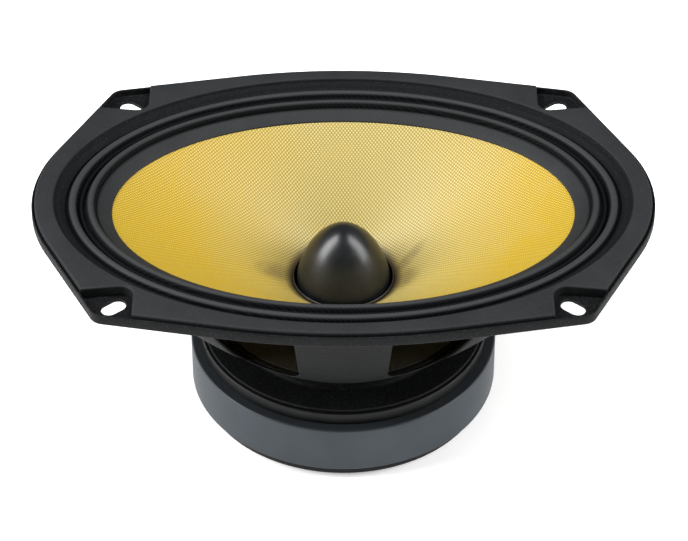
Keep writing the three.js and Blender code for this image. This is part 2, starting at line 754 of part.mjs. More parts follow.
add('basket', basket(), POWDER_COAT);
add('front_gasket', frontGasket(), RUBBER);
add('surround', surround(), DOPED_CLOTH);
add('spider', spider(), SPIDER_CLOTH);
add('top_plate', topPlate(), BLACK_STEEL);
add('magnet', magnet(), FERRITE);
add('back_plate', backPlate(), BLACK_STEEL);
add('pole_piece', polePiece(), BLACK_STEEL);
add('phase_plug', phasePlug(), SATIN_BLACK);
add('phase_plug_screw', phasePlugScrew(), BRIGHT_STEEL);
screwPlaces().forEach(([x, y], i) => {
  add(`basket_screw_${i + 1}`, basketScrew(), BRIGHT_STEEL).position.set(x, y, 0);
});
add('terminal_board', terminalBoard(), FIBRE_BOARD);
add('terminal_rivet_left', terminalRivet(-1), BRIGHT_STEEL);
add('terminal_rivet_right', terminalRivet(1), BRIGHT_STEEL);
add('terminal_tab_positive', terminalTab(1, TAB_WIDTHS.positive), BRASS);
add('terminal_tab_negative', terminalTab(-1, TAB_WIDTHS.negative), BRASS);
add('tinsel_lead_positive', tinselLead(1), COPPER);
add('tinsel_lead_negative', tinselLead(-1), COPPER);

const coneAssembly = new THREE.Group();
speaker.add(coneAssembly);
add('cone', cone(), YELLOW_WEAVE, coneAssembly);
add('voice_coil_former', voiceCoilFormer(), ALUMINIUM, coneAssembly);
add('voice_coil_winding', voiceCoilWinding(), COPPER, coneAssembly);

export default speaker;
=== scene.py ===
"""Oval 6 x 9 inch car loudspeaker: the detailed pieces, their materials, the light and the camera.

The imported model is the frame. Lengths here are millimetres in the frame's own axes until
new_mesh() turns them into metres: +Z comes out of the front, +X runs along the long axis.
"""
from math import acos, asin, atan2, cos, hypot, pi, radians, sin, tan

import bmesh
import bpy
import numpy as np
from mathutils import Matrix, Vector

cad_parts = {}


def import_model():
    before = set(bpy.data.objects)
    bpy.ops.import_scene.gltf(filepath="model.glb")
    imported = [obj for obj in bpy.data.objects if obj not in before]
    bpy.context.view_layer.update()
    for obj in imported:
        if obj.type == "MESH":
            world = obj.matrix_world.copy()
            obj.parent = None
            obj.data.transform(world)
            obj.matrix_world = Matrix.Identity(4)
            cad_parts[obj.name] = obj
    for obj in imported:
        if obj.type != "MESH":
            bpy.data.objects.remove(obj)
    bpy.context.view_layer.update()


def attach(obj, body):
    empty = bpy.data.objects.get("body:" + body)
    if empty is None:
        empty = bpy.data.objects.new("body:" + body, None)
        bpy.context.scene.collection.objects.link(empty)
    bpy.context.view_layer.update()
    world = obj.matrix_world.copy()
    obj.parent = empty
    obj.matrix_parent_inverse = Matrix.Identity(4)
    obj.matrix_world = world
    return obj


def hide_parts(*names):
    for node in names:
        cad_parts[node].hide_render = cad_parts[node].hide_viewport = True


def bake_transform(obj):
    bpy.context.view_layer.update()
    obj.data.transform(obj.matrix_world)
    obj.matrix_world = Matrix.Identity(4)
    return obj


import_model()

MM = 0.001
QUADRANTS = [(x_sign, y_sign) for x_sign in (1, -1) for y_sign in (1, -1)]

# --- fineness of the meshes
AROUND = 240  # points round each oval
TURN = 160
STRAIGHT = 28  # points along each straight stretch of the flange's outline
END_STEPS = 14
SIDE_STEPS = 18
CORNER_STEPS = 5  # steps of a small rounded corner
SMALL_STEPS = 4
WINDOW_PARTS = 10
WALL_RINGS = 22
ROLL_POINTS = 15
CONE_RINGS = 34
SPIDER_RINGS = 76
PLUG_RINGS = 41

# --- flange, gasket and ears (mm)
HALF_LENGTH = 118.8
HALF_WIDTH = 82.4
END_RADIUS = 64
END_ANGLE = 27.2  # degrees of the end arc each side of the long axis
SIDE_RADIUS = 230
SIDE_ANGLE = 10.5
CORNER_RADIUS = 6

SHEET = 1.3
CHAMFER = 0.35  # broken edge of every punched hole
FLANGE_BOTTOM = 86.5
FLANGE_TOP = FLANGE_BOTTOM + SHEET
LIP_TOP = 90.8
LIP_WIDTH = 0.95
LIP_EDGE = 0.42
OPENING = 105.6  # half length of the flange's inner edge
OPENING_EDGE = 0.4
GASKET_TOP = 92.4
GASKET_INSET = 1.2
GASKET_EDGE = 0.9
GASKET_INNER = 110.6  # half length of its inner top edge
GASKET_STEPS = (  # half length, height and corner radius down its inner wall
    (109.9, 90.9, 0.5), (108, 90.5, 0.4), (107, 89.4, 0.4), (106.1, 89.1, 0.3),
)
EAR_X = 77  # the ears lie beyond this, clear of the gasket
EAR_Y = 54
EAR_SLOPE = 0.12  # rise of its edge per mm towards the end
EAR_CORNER = 5
EAR_STEPS = 10
BEYOND_OUTLINE = 140
SLOT_X = 84.2
SLOT_Y = 61.3
SLOT_ANGLE = 40  # degrees from the long axis
SLOT_WIDTH = 6
SLOT_TRAVEL = 4
SLOT_POINTS = 13

# --- oval family (mm)
CONE_EDGE = 88.4  # half length and half width of the cone's edge
CONE_EDGE_WIDTH = 56.4
OVAL_STEP = 3 / 22.2  # extra difference of the half axes per mm outwards

# --- motor (mm)
PLATE = 5  # thickness of the back plate
PLATE_EDGE = 0.5
BACK_PLATE_RADIUS = 56.9
MAGNET_RADIUS = 60
MAGNET_BORE = 30
MAGNET_THICKNESS = 20
MAGNET_TOP = PLATE + MAGNET_THICKNESS
ROUNDED_RIM = 0.9
TOP_PLATE_RADIUS = 56.2
TOP_PLATE = 5.2
AIR_GAP_RADIUS = 21.4
POLE_RADIUS = 18.5
POLE_TOP = 33
RECESS_RADIUS = 5.4
RECESS_DEPTH = 3.4

# --- basket (mm)
BASE_BOTTOM = MAGNET_TOP + TOP_PLATE
BASE_TOP = BASE_BOTTOM + SHEET
BASE_RADIUS = 55
BASE_BORE = 32.5
NECK_RADIUS = 43
NECK_BEND = 1.6
LEDGE_RADIUS = 53.8
LEDGE_BOTTOM = 44
LEDGE_TOP = LEDGE_BOTTOM + SHEET
WALL_TOP = 106  # half length of the arms' wall where it meets the flange
WALL_TOP_WIDTH = 71
WALL_CROWDING = 1.6  # rings closer near the ledge
WALL_OVERLAP = 1.012  # how far up it goes, 1 being the flange's bottom
BELLY_LENGTH = 0.68  # 1 is straight, less bellies outwards
BELLY_WIDTH = 0.9
ARM_HALF_WIDTH = 16.4  # front and rear arms at the ledge
ARM_SPREAD = 2.9  # added at the flange
ARM_LEAN = atan2(WALL_TOP_WIDTH - LEDGE_RADIUS, FLANGE_BOTTOM - LEDGE_BOTTOM)
WINDOW_FAR = 38.3  # far edge of a side window, from the short axis, at the ledge
WINDOW_SPREAD = 21
END_WINDOW = 15  # half width of an end window at the ledge
END_WINDOW_SPREAD = 9
WINDOW_LOW = 0.031  # up the wall, from 0 at the ledge to 1 at the flange
WINDOW_HIGH = 0.93
WINDOW_CORNER = 3.5

SCREW_CIRCLE = 37.2
SCREW_ANGLES = (45, 135, 225, 315)
SCREW_RADIUS = 2
SCREW_HOLE = SCREW_RADIUS + 0.3
SCREW_LENGTH = 4.5
PAN_HEAD = (  # radius and height above the base ring
    (3.3, 0), (3.6, 0.2), (3.6, 0.9), (3.3, 1.5), (2.6, 2.05), (1.5, 2.35), (0, 2.5),
)
CROSS_LENGTH = 3.6
CROSS_WIDTH = 0.7
CROSS_FLOOR = 1.2

# --- moving and soft pieces (mm)
FORMER_INNER = 19.2
FORMER_OUTER = 19.7
FORMER_BOTTOM = 13
FORMER_TOP = 52.6
COIL_INNER = 19.75
COIL_GROOVE = 20.35
WIRE_BULGE = 0.25
COIL_TURNS = 40
COIL_BOTTOM = 19.6
COIL_TOP = 35.6

CONE_NECK = 20.05
CONE_NECK_Z = 51.7
CONE_EDGE_Z = 84.5
CONE_BOW = 0.1  # how far the cone's slope eases off towards its edge
CONE_SKIN = 0.8
CONE_LIP = 92.6  # half length where the cone ends, under the surround
CONE_PAINTED_SHADOWS = (  # x, y, turn, length and width of each painted shadow beside the plug
    (-27, -1, 20, 9, 6), (25.5, 7, 42, 10, 3), (24, -4, 60, 7, 6),
)
EDGE_LAND = 109.2
EDGE_INNER = 105.9
EDGE_SKIN = 0.6
EDGE_TOP = FLANGE_TOP + 0.05 + EDGE_SKIN
ROLL_FOOT = 87.6
ROLLS = (  # centre, half width, foot and height of each roll
    (103.3, 1.8, EDGE_TOP, 2.15), (99.9, 0.9, ROLL_FOOT, 1.5), (96.35, 2.05, ROLL_FOOT, 2.75),
)
LAND_OUTER = (94.1, 87.75)  # half length and height where the rolls end
LAND_RISE = 0.65
SURROUND_FIXED = 105.2  # half length where it joins the basket
SURROUND_MOVING = 94.2

SPIDER_COLLAR = ((20.0, 1.8), (20.6, 1.7), (21.4, 0.5))
WAVES_START = 22
WAVES_END = 40.5
WAVES = 4  # rises and falls in turn
WAVE_HEIGHT = 1.3
SPIDER_RIM = (41.3, 52)
SPIDER_SKIN = 0.6
SPIDER_FIXED = 41

# --- phase plug and its screw (mm)
PLUG_RADIUS = 18
PLUG_SHOULDER = 53
PLUG_HEIGHT = 23.3
PLUG_SWELL = 1.43  # powers of the bullet's outline
PLUG_TIP = 0.53
BOLT_RADIUS = 2.5
BOLT_BORE = BOLT_RADIUS + 0.3
BOLT_TOP = 51.5
BOLT_HEAD = 4.6
BOLT_SINK = 0.5
HEX_RADIUS = 1.6
HEX_DEPTH = 1.1

# --- terminals and leads (mm)
BOARD_HEIGHT = 0.5  # up the rear arm, from 0 at the ledge to 1 at the flange
BOARD_GAP = 0.5
BOARD_LENGTH = 50
BOARD_WIDTH = 13
BOARD_FACE = BOARD_GAP + 1.6
HEAD_GAP = 0.1
RIVET_OFFSET = 9
RIVET_RADIUS = 1.6
RIVET_HOLE = 1.9
RIVET_BORE = 0.9
RIVET_TAIL = 1.6
TAB_OFFSET = 20.6
TAB_WIDTHS = {"positive": 6.3, "negative": 4.8}
TAB_THICKNESS = 0.8
TAB_FOOT = 8
TAB_BLADE = 9
TAB_TIP = 0.9
TAB_EDGE = 0.12
EYELET_RADIUS = 1.1
EYELET_HOLE = 1.4
EYELET_END = -1.2  # behind the board
LEAD_WAY = ((22, 47, 57), (24, 35, 54.5), (26, 23, 55), (26.5, 16, 56.5))
STRANDS = 4
STRAND_RADIUS = 0.42
STRAND_OFFSET = 0.44
STRAND_TWIST = 1.1
STRAND_SIDES = 8

# --- studio (metres and degrees)
CAMERA_ELEVATION = 39.43
CAMERA_DISTANCE = 1.1788
CAMERA_TARGET = Vector((0, 0, 0.05478))
CAMERA_LENS = 158.7  # focal length and sensor width in millimetres
CAMERA_SENSOR = 36
CAMERA_SHIFT = 0.00094
LIGHT_TARGET = Vector((0, 0, 0.06))
SOFTBOX_ELEVATION = 38
SOFTBOX_DISTANCE = 1.5
SOFTBOX_SIZE = (0.7, 1.8)
FLOOR_LEVEL = -0.6  # this and the floor's edges in millimetres
FLOOR_SIDE = 4000
FLOOR_BACK = 6000
FLOOR_GLOW = 0.32
WORLD_BRIGHTNESS = 0.10


# --- outlines
def rounded(corners, steps=CORNER_STEPS):
    """A closed outline from (x, y, radius) corners, with an arc of that radius at each."""
    outline = []
    for i, (x, y, radius) in enumerate(corners):
        here = np.array((x, y), float)
        if radius == 0:
            outline.append(here)
            continue
        before = np.array(corners[i - 1][:2]) - here
        after = np.array(corners[(i + 1) % len(corners)][:2]) - here
        before /= np.linalg.norm(before)
        after /= np.linalg.norm(after)
        half = acos(np.clip(before @ after, -1, 1)) / 2
        middle = (before + after) / np.linalg.norm(before + after)
        centre = here + middle * radius / sin(half)
        start = here + before * radius / tan(half) - centre
        end = here + after * radius / tan(half) - centre
        first = atan2(start[1], start[0])
        sweep = (atan2(end[1], end[0]) - first + pi) % (2 * pi) - pi
        for step in range(steps + 1):
            angle = first + sweep * step / steps
            outline.append(centre + radius * np.array((cos(angle), sin(angle))))
    return outline


def rectangle(x, y, corner=0.0):
    """A rectangle about the origin, its corners rounded."""
    half_x, half_y = x / 2, y / 2
    return rounded([
        (half_x, half_y, corner), (-half_x, half_y, corner),
        (-half_x, -half_y, corner), (half_x, -half_y, corner),
    ])


def quarter_round(radius, steps=5):
    """(inset, rise) steps of a rounded top edge, from the side to the top."""
    turns = np.linspace(0, pi / 2, steps + 1)
    return [(radius * (1 - cos(turn)), radius * sin(turn)) for turn in turns]


def raised(profile, z):
    """A profile of (radius, height) rows, moved up by z."""
    return [(radius, height + z) for radius, height in profile]


def half_width(half_length):
    """The half width of the oval with this half length."""
    return half_length - (CONE_EDGE - CONE_EDGE_WIDTH) - OVAL_STEP * (half_length - CONE_EDGE)


def ellipse(length, width, z, count=AROUND):
    turn = np.linspace(0, 2 * pi, count, endpoint=False)
    return np.column_stack((length * np.cos(turn), width * np.sin(turn), np.full(count, z)))


def flange_outline(inset):
    """The flange's outline, moved in by inset, as an array of x and y."""
    start, stop = radians(END_ANGLE), radians(90 - SIDE_ANGLE)
    normals = np.array([(cos(a), sin(a)) for a in (start, stop)])
    end_centre = np.array((HALF_LENGTH - END_RADIUS, 0))
    side_centre = np.array((0, HALF_WIDTH - SIDE_RADIUS))
    reach = (
        normals[0] @ end_centre + END_RADIUS - CORNER_RADIUS,
        normals[1] @ side_centre + SIDE_RADIUS - CORNER_RADIUS,
    )
    corner = np.linalg.solve(normals, reach)
    arcs = (
        (end_centre, END_RADIUS, 0, start, END_STEPS),
        (corner, CORNER_RADIUS, start, stop, END_STEPS),
        (side_centre, SIDE_RADIUS, stop, pi / 2, SIDE_STEPS),
    )
    quadrant = np.empty((0, 2))
    for centre, radius, first, last, steps in arcs:
        turns = np.linspace(first, last, steps + 1)
        arc = centre + (radius - inset) * np.column_stack((np.cos(turns), np.sin(turns)))
        straight = np.linspace(quadrant[-1], arc[0], STRAIGHT)[1:-1] if len(quadrant) else quadrant
        quadrant = np.vstack((quadrant, straight, arc))
    upper = np.vstack((quadrant, (quadrant * (-1, 1))[::-1][1:]))
    return np.vstack((upper, (upper * (1, -1))[::-1][1:-1]))


def flange_ring(inset, z):
    outline = flange_outline(inset)
    return np.column_stack((outline, np.full(len(outline), z)))


def oval_under(outline, half_length, z):
    """Points of an oval at the same bearings as an outline's points."""
    bearing = np.arctan2(outline[:, 1], outline[:, 0])
    reach = 1 / np.hypot(np.cos(bearing) / half_length, np.sin(bearing) / half_width(half_length))
    return np.column_stack((reach * np.cos(bearing), reach * np.sin(bearing), np.full(len(reach), z)))


# --- meshes
def loft(rings, closed=True):
    """Quads between rings with the same number of points, as (points, faces)."""
    rings = np.asarray(rings, float)
    bands, count = rings.shape[:2]
    faces = []
    for i in range(bands if closed else bands - 1):
        here, above = i * count, (i + 1) % bands * count
        for j in range(count):
            k = (j + 1) % count
            faces.append((here + j, here + k, above + k, above + j))
    return rings.reshape(-1, 3), faces


def capped(rings):
    """A block through rings, with a face over the first and the last one."""
    points, faces = loft(rings, closed=False)
    count = len(rings[0])
    last = len(points) - count
    faces.append(tuple(range(count - 1, -1, -1)))
    faces.append(tuple(range(last, last + count)))
    return points, faces


def turned(profile, count=TURN, closed=True):
    """A profile of (radius, z) turned about the axis. An open one starts and ends on it."""
    return loft([ellipse(radius, radius, z, count) for radius, z in profile], closed)


def turned_solid(rows, count=AROUND, steps=CORNER_STEPS):
    """A ring turned from (radius, z, corner radius) rows."""
    return turned(rounded(rows, steps), count)


def oval_turned(profile):
    """A profile of (half length, z) carried round the oval family."""
    return loft([ellipse(length, half_width(length), z) for length, z in profile])


def bevelled(bottom, top, edge):
    """(z, grow) levels of a body between two faces whose edges are broken."""
    return (bottom, edge), (bottom + edge, 0), (top - edge, 0), (top, edge)


def rod(radius, bottom, top, count=32):
    return capped([ellipse(radius, radius, z, count) for z in (bottom, top)])


def soft_block(x, y, bottom, top, corner, edge):
    """A flat block with rounded corners and broken top and bottom edges."""
    rings = []
    for z, inset in bevelled(bottom, top, edge):
        outline = rectangle(x - 2 * inset, y - 2 * inset, corner - inset)
        rings.append([(px, py, z) for px, py in outline])
    return capped(rings)


def in_each_quadrant(outline_at, levels):
    """A cutter in each quadrant, its outline moved out by grow at each (z, grow) level."""
    cutters = []
    for x_sign, y_sign in QUADRANTS:
        rings = [[(x * x_sign, y * y_sign, z) for x, y in outline_at(grow)] for z, grow in levels]
        cutters.append(capped(rings))
    return merged(*cutters)


def moved(shape, matrix):
    points, faces = shape
    return [matrix @ Vector(point) for point in points], faces


def shifted(shape, x, y=0.0, z=0.0):
    return moved(shape, Matrix.Translation((x, y, z)))


def merged(*shapes):
    """Several (points, faces) as one."""
    points, faces = [], []
    for shape_points, shape_faces in shapes:
        offset = len(points)
        points += [tuple(point) for point in shape_points]
        faces += [tuple(index + offset for index in face) for face in shape_faces]
    return points, faces


def new_mesh(name, shape):
    points, faces = shape
    mesh = bpy.data.meshes.new(name)
    mesh.from_pydata([tuple(c * MM for c in point) for point in points], [], faces)
    bm = bmesh.new()
    bm.from_mesh(mesh)
    bmesh.ops.remove_doubles(bm, verts=bm.verts, dist=1e-7)
    bmesh.ops.recalc_face_normals(bm, faces=bm.faces)
    bm.to_mesh(mesh)
    bm.free()
    return mesh


def new_object(name, data):
    thing = bpy.data.objects.new(name, data)
    bpy.context.scene.collection.objects.link(thing)
    return thing


def new_piece(name, shape):
    return new_object(name, new_mesh(name, shape))


def combine(shape, operation, other):
    """The boolean of two (points, faces), as (points, faces)."""
    first = new_piece("first", shape)
    second = new_piece("second", other)
    modifier = first.modifiers.new("boolean", "BOOLEAN")
    modifier.operation = operation
    modifier.solver = "EXACT"
    modifier.use_self = False
    modifier.object = second
    bpy.context.view_layer.update()
    result = first.evaluated_get(bpy.context.evaluated_depsgraph_get()).to_mesh()
    points = [tuple(c / MM for c in vertex.co) for vertex in result.vertices]
    faces = [tuple(polygon.vertices) for polygon in result.polygons]
    for leftover in (first, second):
        bpy.data.meshes.remove(leftover.data)
    return points, faces


# --- material nodes
class Look:
    """A material with one Principled shader and short ways to add nodes to it."""

    def __init__(self, name):
        self.material = bpy.data.materials.new(name)
        self.material.use_nodes = True
        self.tree = self.material.node_tree
        self.shader = self.tree.nodes["Principled BSDF"]
        self.place = self.node("ShaderNodeTexCoord").outputs["Object"]

    def node(self, kind, settings=None, **inputs):
        node = self.tree.nodes.new(kind)
        for key, value in (settings or {}).items():
            setattr(node, key, value)
        for key, value in inputs.items():
            self.feed(node.inputs[key.replace("_", " ")], value)
        return node

    def feed(self, socket, value):
        if isinstance(value, bpy.types.NodeSocket):
            self.tree.links.new(value, socket)
        else:
            socket.default_value = value

    def math(self, operation, first, second=0.0):
        node = self.node("ShaderNodeMath", {"operation": operation})
        self.feed(node.inputs[0], first)
        self.feed(node.inputs[1], second)
        return node.outputs[0]

    def times(self, first, second):
        return self.math("MULTIPLY", first, second)

    def noise(self, scale, detail, roughness=0.5, place=None):
        settings = {"Scale": scale, "Detail": detail, "Roughness": roughness}
        return self.node("ShaderNodeTexNoise", Vector=place or self.place, **settings).outputs["Fac"]

    def spots(self, scale):
        return self.node("ShaderNodeTexVoronoi", Vector=self.place, Scale=scale).outputs["Distance"]

    def remap(self, value, low, high, new_low, new_high):
        """value from low..high to new_low..new_high, held at the ends."""
        node = self.node("ShaderNodeMapRange")
        for index, number in enumerate((value, low, high, new_low, new_high)):
            self.feed(node.inputs[index], number)
        return node.outputs[0]

    def mix(self, factor, first, second):
        node = self.node("ShaderNodeMix", {"data_type": "RGBA"})
        self.feed(node.inputs["Factor"], factor)
        self.feed(node.inputs["A"], first)
        self.feed(node.inputs["B"], second)
        return node.outputs["Result"]

    def fade(self, value, low, high, first, second):
        """The colour first where value is below low, turning into second by high."""
        return self.mix(self.remap(value, low, high, 0, 1), first, second)

    def bump(self, height, distance, strength, under=None):
        """A normal from a height. The distance is in millimetres."""
        node = self.node("ShaderNodeBump", Strength=strength, Distance=distance * MM, Height=height)
        if under is not None:
            self.feed(node.inputs["Normal"], under)
        return node.outputs["Normal"]

    def part(self, axis):
        """One of the object coordinates, in metres."""
        return self.node("ShaderNodeSeparateXYZ", Vector=self.place).outputs[axis]

    def by_height(self, low, high, at_low, at_high):
        """at_low below the height low, turning into at_high by high. Heights are millimetres."""
        return self.remap(self.part("Z"), low * MM, high * MM, at_low, at_high)

    def stretched(self, scale, turn=0.0):
        """Object coordinates, turned about Z by turn degrees and scaled along each axis."""
        mapping = self.node("ShaderNodeMapping", Vector=self.place, Scale=scale)
        mapping.inputs["Rotation"].default_value = (0, 0, radians(turn))
        return mapping.outputs["Vector"]

    def patch(self, x, y, turn, length, width):
        """1 inside an ellipse seen along Z, fading to 0 at its edge. Millimetres and degrees."""
        mapping = self.node(
            "ShaderNodeMapping", {"vector_type": "TEXTURE"}, Vector=self.place,
            Location=(x * MM, y * MM, 0), Scale=(length * MM, width * MM, 1))
        mapping.inputs["Rotation"].default_value = (0, 0, radians(turn))
        parts = self.node("ShaderNodeSeparateXYZ", Vector=mapping.outputs["Vector"])
        square = [self.math("POWER", self.math("ABSOLUTE", parts.outputs[axis]), 2.0) for axis in "XY"]
        return self.remap(self.math("ADD", *square), 0.05, 1, 1, 0)

    def weave(self, pitch, turn=45.0):
        """Threads of a plain weave seen along Z: 1 on the crowns, 0 in the gaps."""
        size = pi / (pitch * MM)
        parts = self.node("ShaderNodeSeparateXYZ", Vector=self.stretched((size, size, size), turn))
        threads = [self.math("ABSOLUTE", self.math("SINE", parts.outputs[axis])) for axis in "XY"]
        return self.times(*threads)

    def finish(self, colour, roughness, normal=None, **uniform):
        self.feed(self.shader.inputs["Base Color"], colour)
        self.feed(self.shader.inputs["Roughness"], roughness)
        if normal is not None:
            self.feed(self.shader.inputs["Normal"], normal)
        for key, value in uniform.items():
            self.feed(self.shader.inputs[key.replace("_", " ")], value)
        return self.material


def grey(value, blue=1.0):
    """A grey of this brightness, which above 1 blue makes cooler."""
    return (value, value * (1 + (blue - 1) / 2), value * blue, 1)


def powder_coat():
    look = Look("powder_coat")
    grain = look.noise(1050, 4, 0.6)
    cloud = look.noise(60, 2)
    colour = look.fade(cloud, 0.35, 0.7, grey(0.0015, 1.3), grey(0.003, 1.3))
    speckle = look.mix(look.remap(grain, 0.52, 0.70, 0, 0.8), colour, grey(0.017, 1.25))
    normal = look.bump(grain, 0.16, 0.9)
    return look.finish(speckle, look.remap(grain, 0.3, 0.7, 0.55, 0.7), normal, Specular_IOR_Level=0.14)


def gasket_rubber():
    """Dull rubber with a grey bloom on its top, and painted shade on the steps and walls below it."""
    look = Look("gasket_rubber")
    skin = look.noise(1500, 3)
    bloom = look.noise(38, 3)
    # painted shade: every face below the top face is darkened, and reflects less, as if in shadow
    painted_step_shade = look.by_height(GASKET_TOP - 0.8, GASKET_TOP - 0.2, 0.74, 0)
    colour = look.fade(bloom, 0.3, 0.75, grey(0.008, 1.3), grey(0.0125, 1.25))
    colour = look.mix(painted_step_shade, colour, grey(0.0010, 1.2))
    colour = look.mix(look.remap(skin, 0.56, 0.72, 0, 0.35), colour, grey(0.03, 1.2))
    normal = look.bump(skin, 0.05, 0.8)
    sheen = look.remap(painted_step_shade, 0, 1, 0.25, 0.06)
    return look.finish(colour, look.remap(bloom, 0.3, 0.7, 0.68, 0.78), normal, Specular_IOR_Level=sheen)


def doped_cloth():
    """The surround's coated cloth, with painted shade in its grooves and a painted highlight on its rolls'
    crowns.
    """
    look = Look("doped_cloth")
    threads = look.weave(0.7, 20)
    bloom = look.noise(70, 3)
    # painted shade: darker by height between the roll feet and just under the crowns
    groove = look.times(
        look.by_height(ROLL_FOOT - 0.3, ROLL_FOOT + 0.3, 0, 1),
        look.by_height(ROLL_FOOT + 1.9, ROLL_FOOT + 2.6, 1, 0))
    # painted highlight: lighter by height near the tops of the rolls
    crown = look.by_height(ROLL_FOOT + 2.3, ROLL_FOOT + 2.8, 0, 0.6)
    colour = look.fade(bloom, 0.3, 0.75, grey(0.008, 1.25), grey(0.0125, 1.2))
    colour = look.mix(look.times(groove, 0.8), colour, grey(0.0006, 1.2))
    colour = look.mix(crown, colour, grey(0.024, 1.2))
    colour = look.mix(look.remap(threads, 0.5, 1, 0, 0.3), colour, grey(0.024, 1.2))
    normal = look.bump(threads, 0.09, 0.7, look.bump(look.noise(500, 2), 0.08, 0.6))
    sheen = look.remap(groove, 0, 1, 0.3, 0.05)
    return look.finish(colour, look.remap(threads, 0, 1, 0.75, 0.6), normal, Specular_IOR_Level=sheen)


def beyond_painted_sheen(look):
    """0 in the pale middle of the cone, where a sheen is painted, and 1 at its deep yellow ends, with a
    cloudy border.
    """
    from_middle = look.math("ABSOLUTE", look.math("SUBTRACT", look.part("X"), 0.008))
    front = look.times(look.math("MINIMUM", look.part("Y"), 0.0), -0.6)
    reach = look.math("ADD", from_middle, front)
    cloudy = look.math("ADD", reach, look.times(look.noise(26, 3), 0.03))
    return look.remap(cloudy, 0.035, 0.085, 0, 1)


def yellow_weave():
    look = Look("yellow_weave")
    threads = look.weave(0.95)
    # painted sheen: the middle and back of the cone stay paler, the ends and front deep yellow
    ends = beyond_painted_sheen(look)
    gap = look.mix(ends, (0.220, 0.162, 0.040, 1), (0.255, 0.162, 0.009, 1))
    crown = look.mix(ends, (0.49, 0.408, 0.135, 1), (0.53, 0.368, 0.034, 1))
    colour = look.fade(threads, 0.15, 0.85, gap, crown)
    stain = look.remap(look.noise(75, 4, 0.6), 0.56, 0.72, 0, 0.35)
    colour = look.mix(stain, colour, (0.36, 0.25, 0.06, 1))
    # painted shadows beside the plug, mottled by noise
    shadow_mottle = look.remap(look.noise(220, 4, 0.6), 0.25, 0.6, 0.35, 1)
    for place in CONE_PAINTED_SHADOWS:
        painted_shadow = look.times(look.times(look.patch(*place), 0.6), shadow_mottle)
        colour = look.mix(painted_shadow, colour, (0.12, 0.085, 0.030, 1))
    neck = look.patch(0, 0, 0, 24.5, 24.5)
    colour = look.mix(look.remap(neck, 0.12, 0.32, 0, 0.9), colour, (0.030, 0.016, 0.012, 1))
    normal = look.bump(threads, 0.12, 0.7)
    return look.finish(
        colour, look.remap(threads, 0, 1, 0.6, 0.42), normal,
        Specular_IOR_Level=0.4, Coat_Weight=0.08, Coat_Roughness=0.35)


def satin_black():
    """Turned and blackened metal, with fine tool rings along its height."""
    look = Look("satin_black")
    ring_pitch = 0.22 * MM
    rings = look.math("SINE", look.times(look.part("Z"), 2 * pi / ring_pitch))
    cloud = look.noise(120, 3)
    colour = look.fade(cloud, 0.3, 0.7, grey(0.004, 1.5), grey(0.008, 1.4))
    normal = look.bump(rings, 0.004, 0.5, look.bump(look.noise(1800, 2), 0.012, 0.5))
    return look.finish(colour, look.remap(cloud, 0.3, 0.7, 0.28, 0.35), normal, Specular_IOR_Level=0.4)


def ferrite():
    """Blue-grey sintered ferrite, its top face painted darker as shade."""
    look = Look("ferrite")
    fine = look.noise(1900, 4, 0.65)
    cloud = look.noise(45, 4)
    drawn = look.noise(1.0, 2, place=look.stretched((60, 60, 1600)))
    colour = look.fade(cloud, 0.3, 0.72, grey(0.018, 1.75), grey(0.027, 1.7))
    colour = look.mix(look.remap(fine, 0.58, 0.78, 0, 0.35), colour, grey(0.048, 1.5))
    # painted shade on the magnet's top face, under the parts above it
    top = look.by_height(MAGNET_TOP - 0.5, MAGNET_TOP - 0.1, 0, 0.75)
    colour = look.mix(top, colour, grey(0.013, 1.3))
    normal = look.bump(fine, 0.03, 0.5, look.bump(drawn, 0.02, 0.3))
    return look.finish(colour, look.remap(fine, 0.3, 0.7, 0.42, 0.55), normal, Specular_IOR_Level=0.33)


def metal(name, dark, light, roughness, brushed=(400, 400, 400), metallic=1.0):
    """A bare or plated metal: light and dark clouds, and fine lines along the brushing."""
    look = Look(name)
    cloud = look.noise(160, 3)
    lines = look.noise(1.0, 3, place=look.stretched(brushed))
    colour = look.fade(cloud, 0.3, 0.7, dark, light)
    rough = look.remap(lines, 0.3, 0.7, roughness - 0.06, roughness + 0.08)
    return look.finish(colour, rough, look.bump(lines, 0.01, 0.4), Metallic=metallic)


def black_steel():
    look = Look("black_steel")
    cloud = look.noise(160, 3)
    lines = look.noise(1.0, 3, place=look.stretched((90, 90, 2000)))
    colour = look.fade(cloud, 0.3, 0.7, grey(0.0012, 1.3), grey(0.0035, 1.3))
    normal = look.bump(lines, 0.012, 0.5)
    return look.finish(colour, look.remap(lines, 0.3, 0.7, 0.4, 0.55), normal, Specular_IOR_Level=0.22)


def fibre_board():
    look = Look("fibre_board")
    fibres = look.noise(1.0, 4, 0.6, look.stretched((300, 2400, 2400)))
    colour = look.fade(fibres, 0.3, 0.7, (0.030, 0.017, 0.010, 1), (0.085, 0.048, 0.028, 1))
    colour = look.mix(look.remap(look.spots(900), 0.1, 0.3, 0.3, 0), colour, (0.16, 0.10, 0.06, 1))
    return look.finish(colour, 0.62, look.bump(fibres, 0.03, 0.5))


def tinsel_braid():
    look = Look("tinsel_braid")
    glint = look.noise(2400, 3)
    colour = look.fade(glint, 0.4, 0.65, (0.28, 0.12, 0.05, 1), (0.70, 0.40, 0.22, 1))
    rough = look.remap(glint, 0.4, 0.7, 0.5, 0.28)
    return look.finish(colour, rough, look.bump(glint, 0.04, 0.6), Metallic=0.75)


def spider_cloth():
    look = Look("spider_cloth")
    threads = look.weave(0.8, 0)
    cloud = look.noise(60, 3)
    deep = look.fade(cloud, 0.3, 0.7, (0.005, 0.0045, 0.003, 1), (0.008, 0.0065, 0.004, 1))
    colour = look.fade(threads, 0.1, 0.8, deep, (0.020, 0.016, 0.008, 1))
    return look.finish(colour, 0.8, look.bump(threads, 0.16, 0.8))


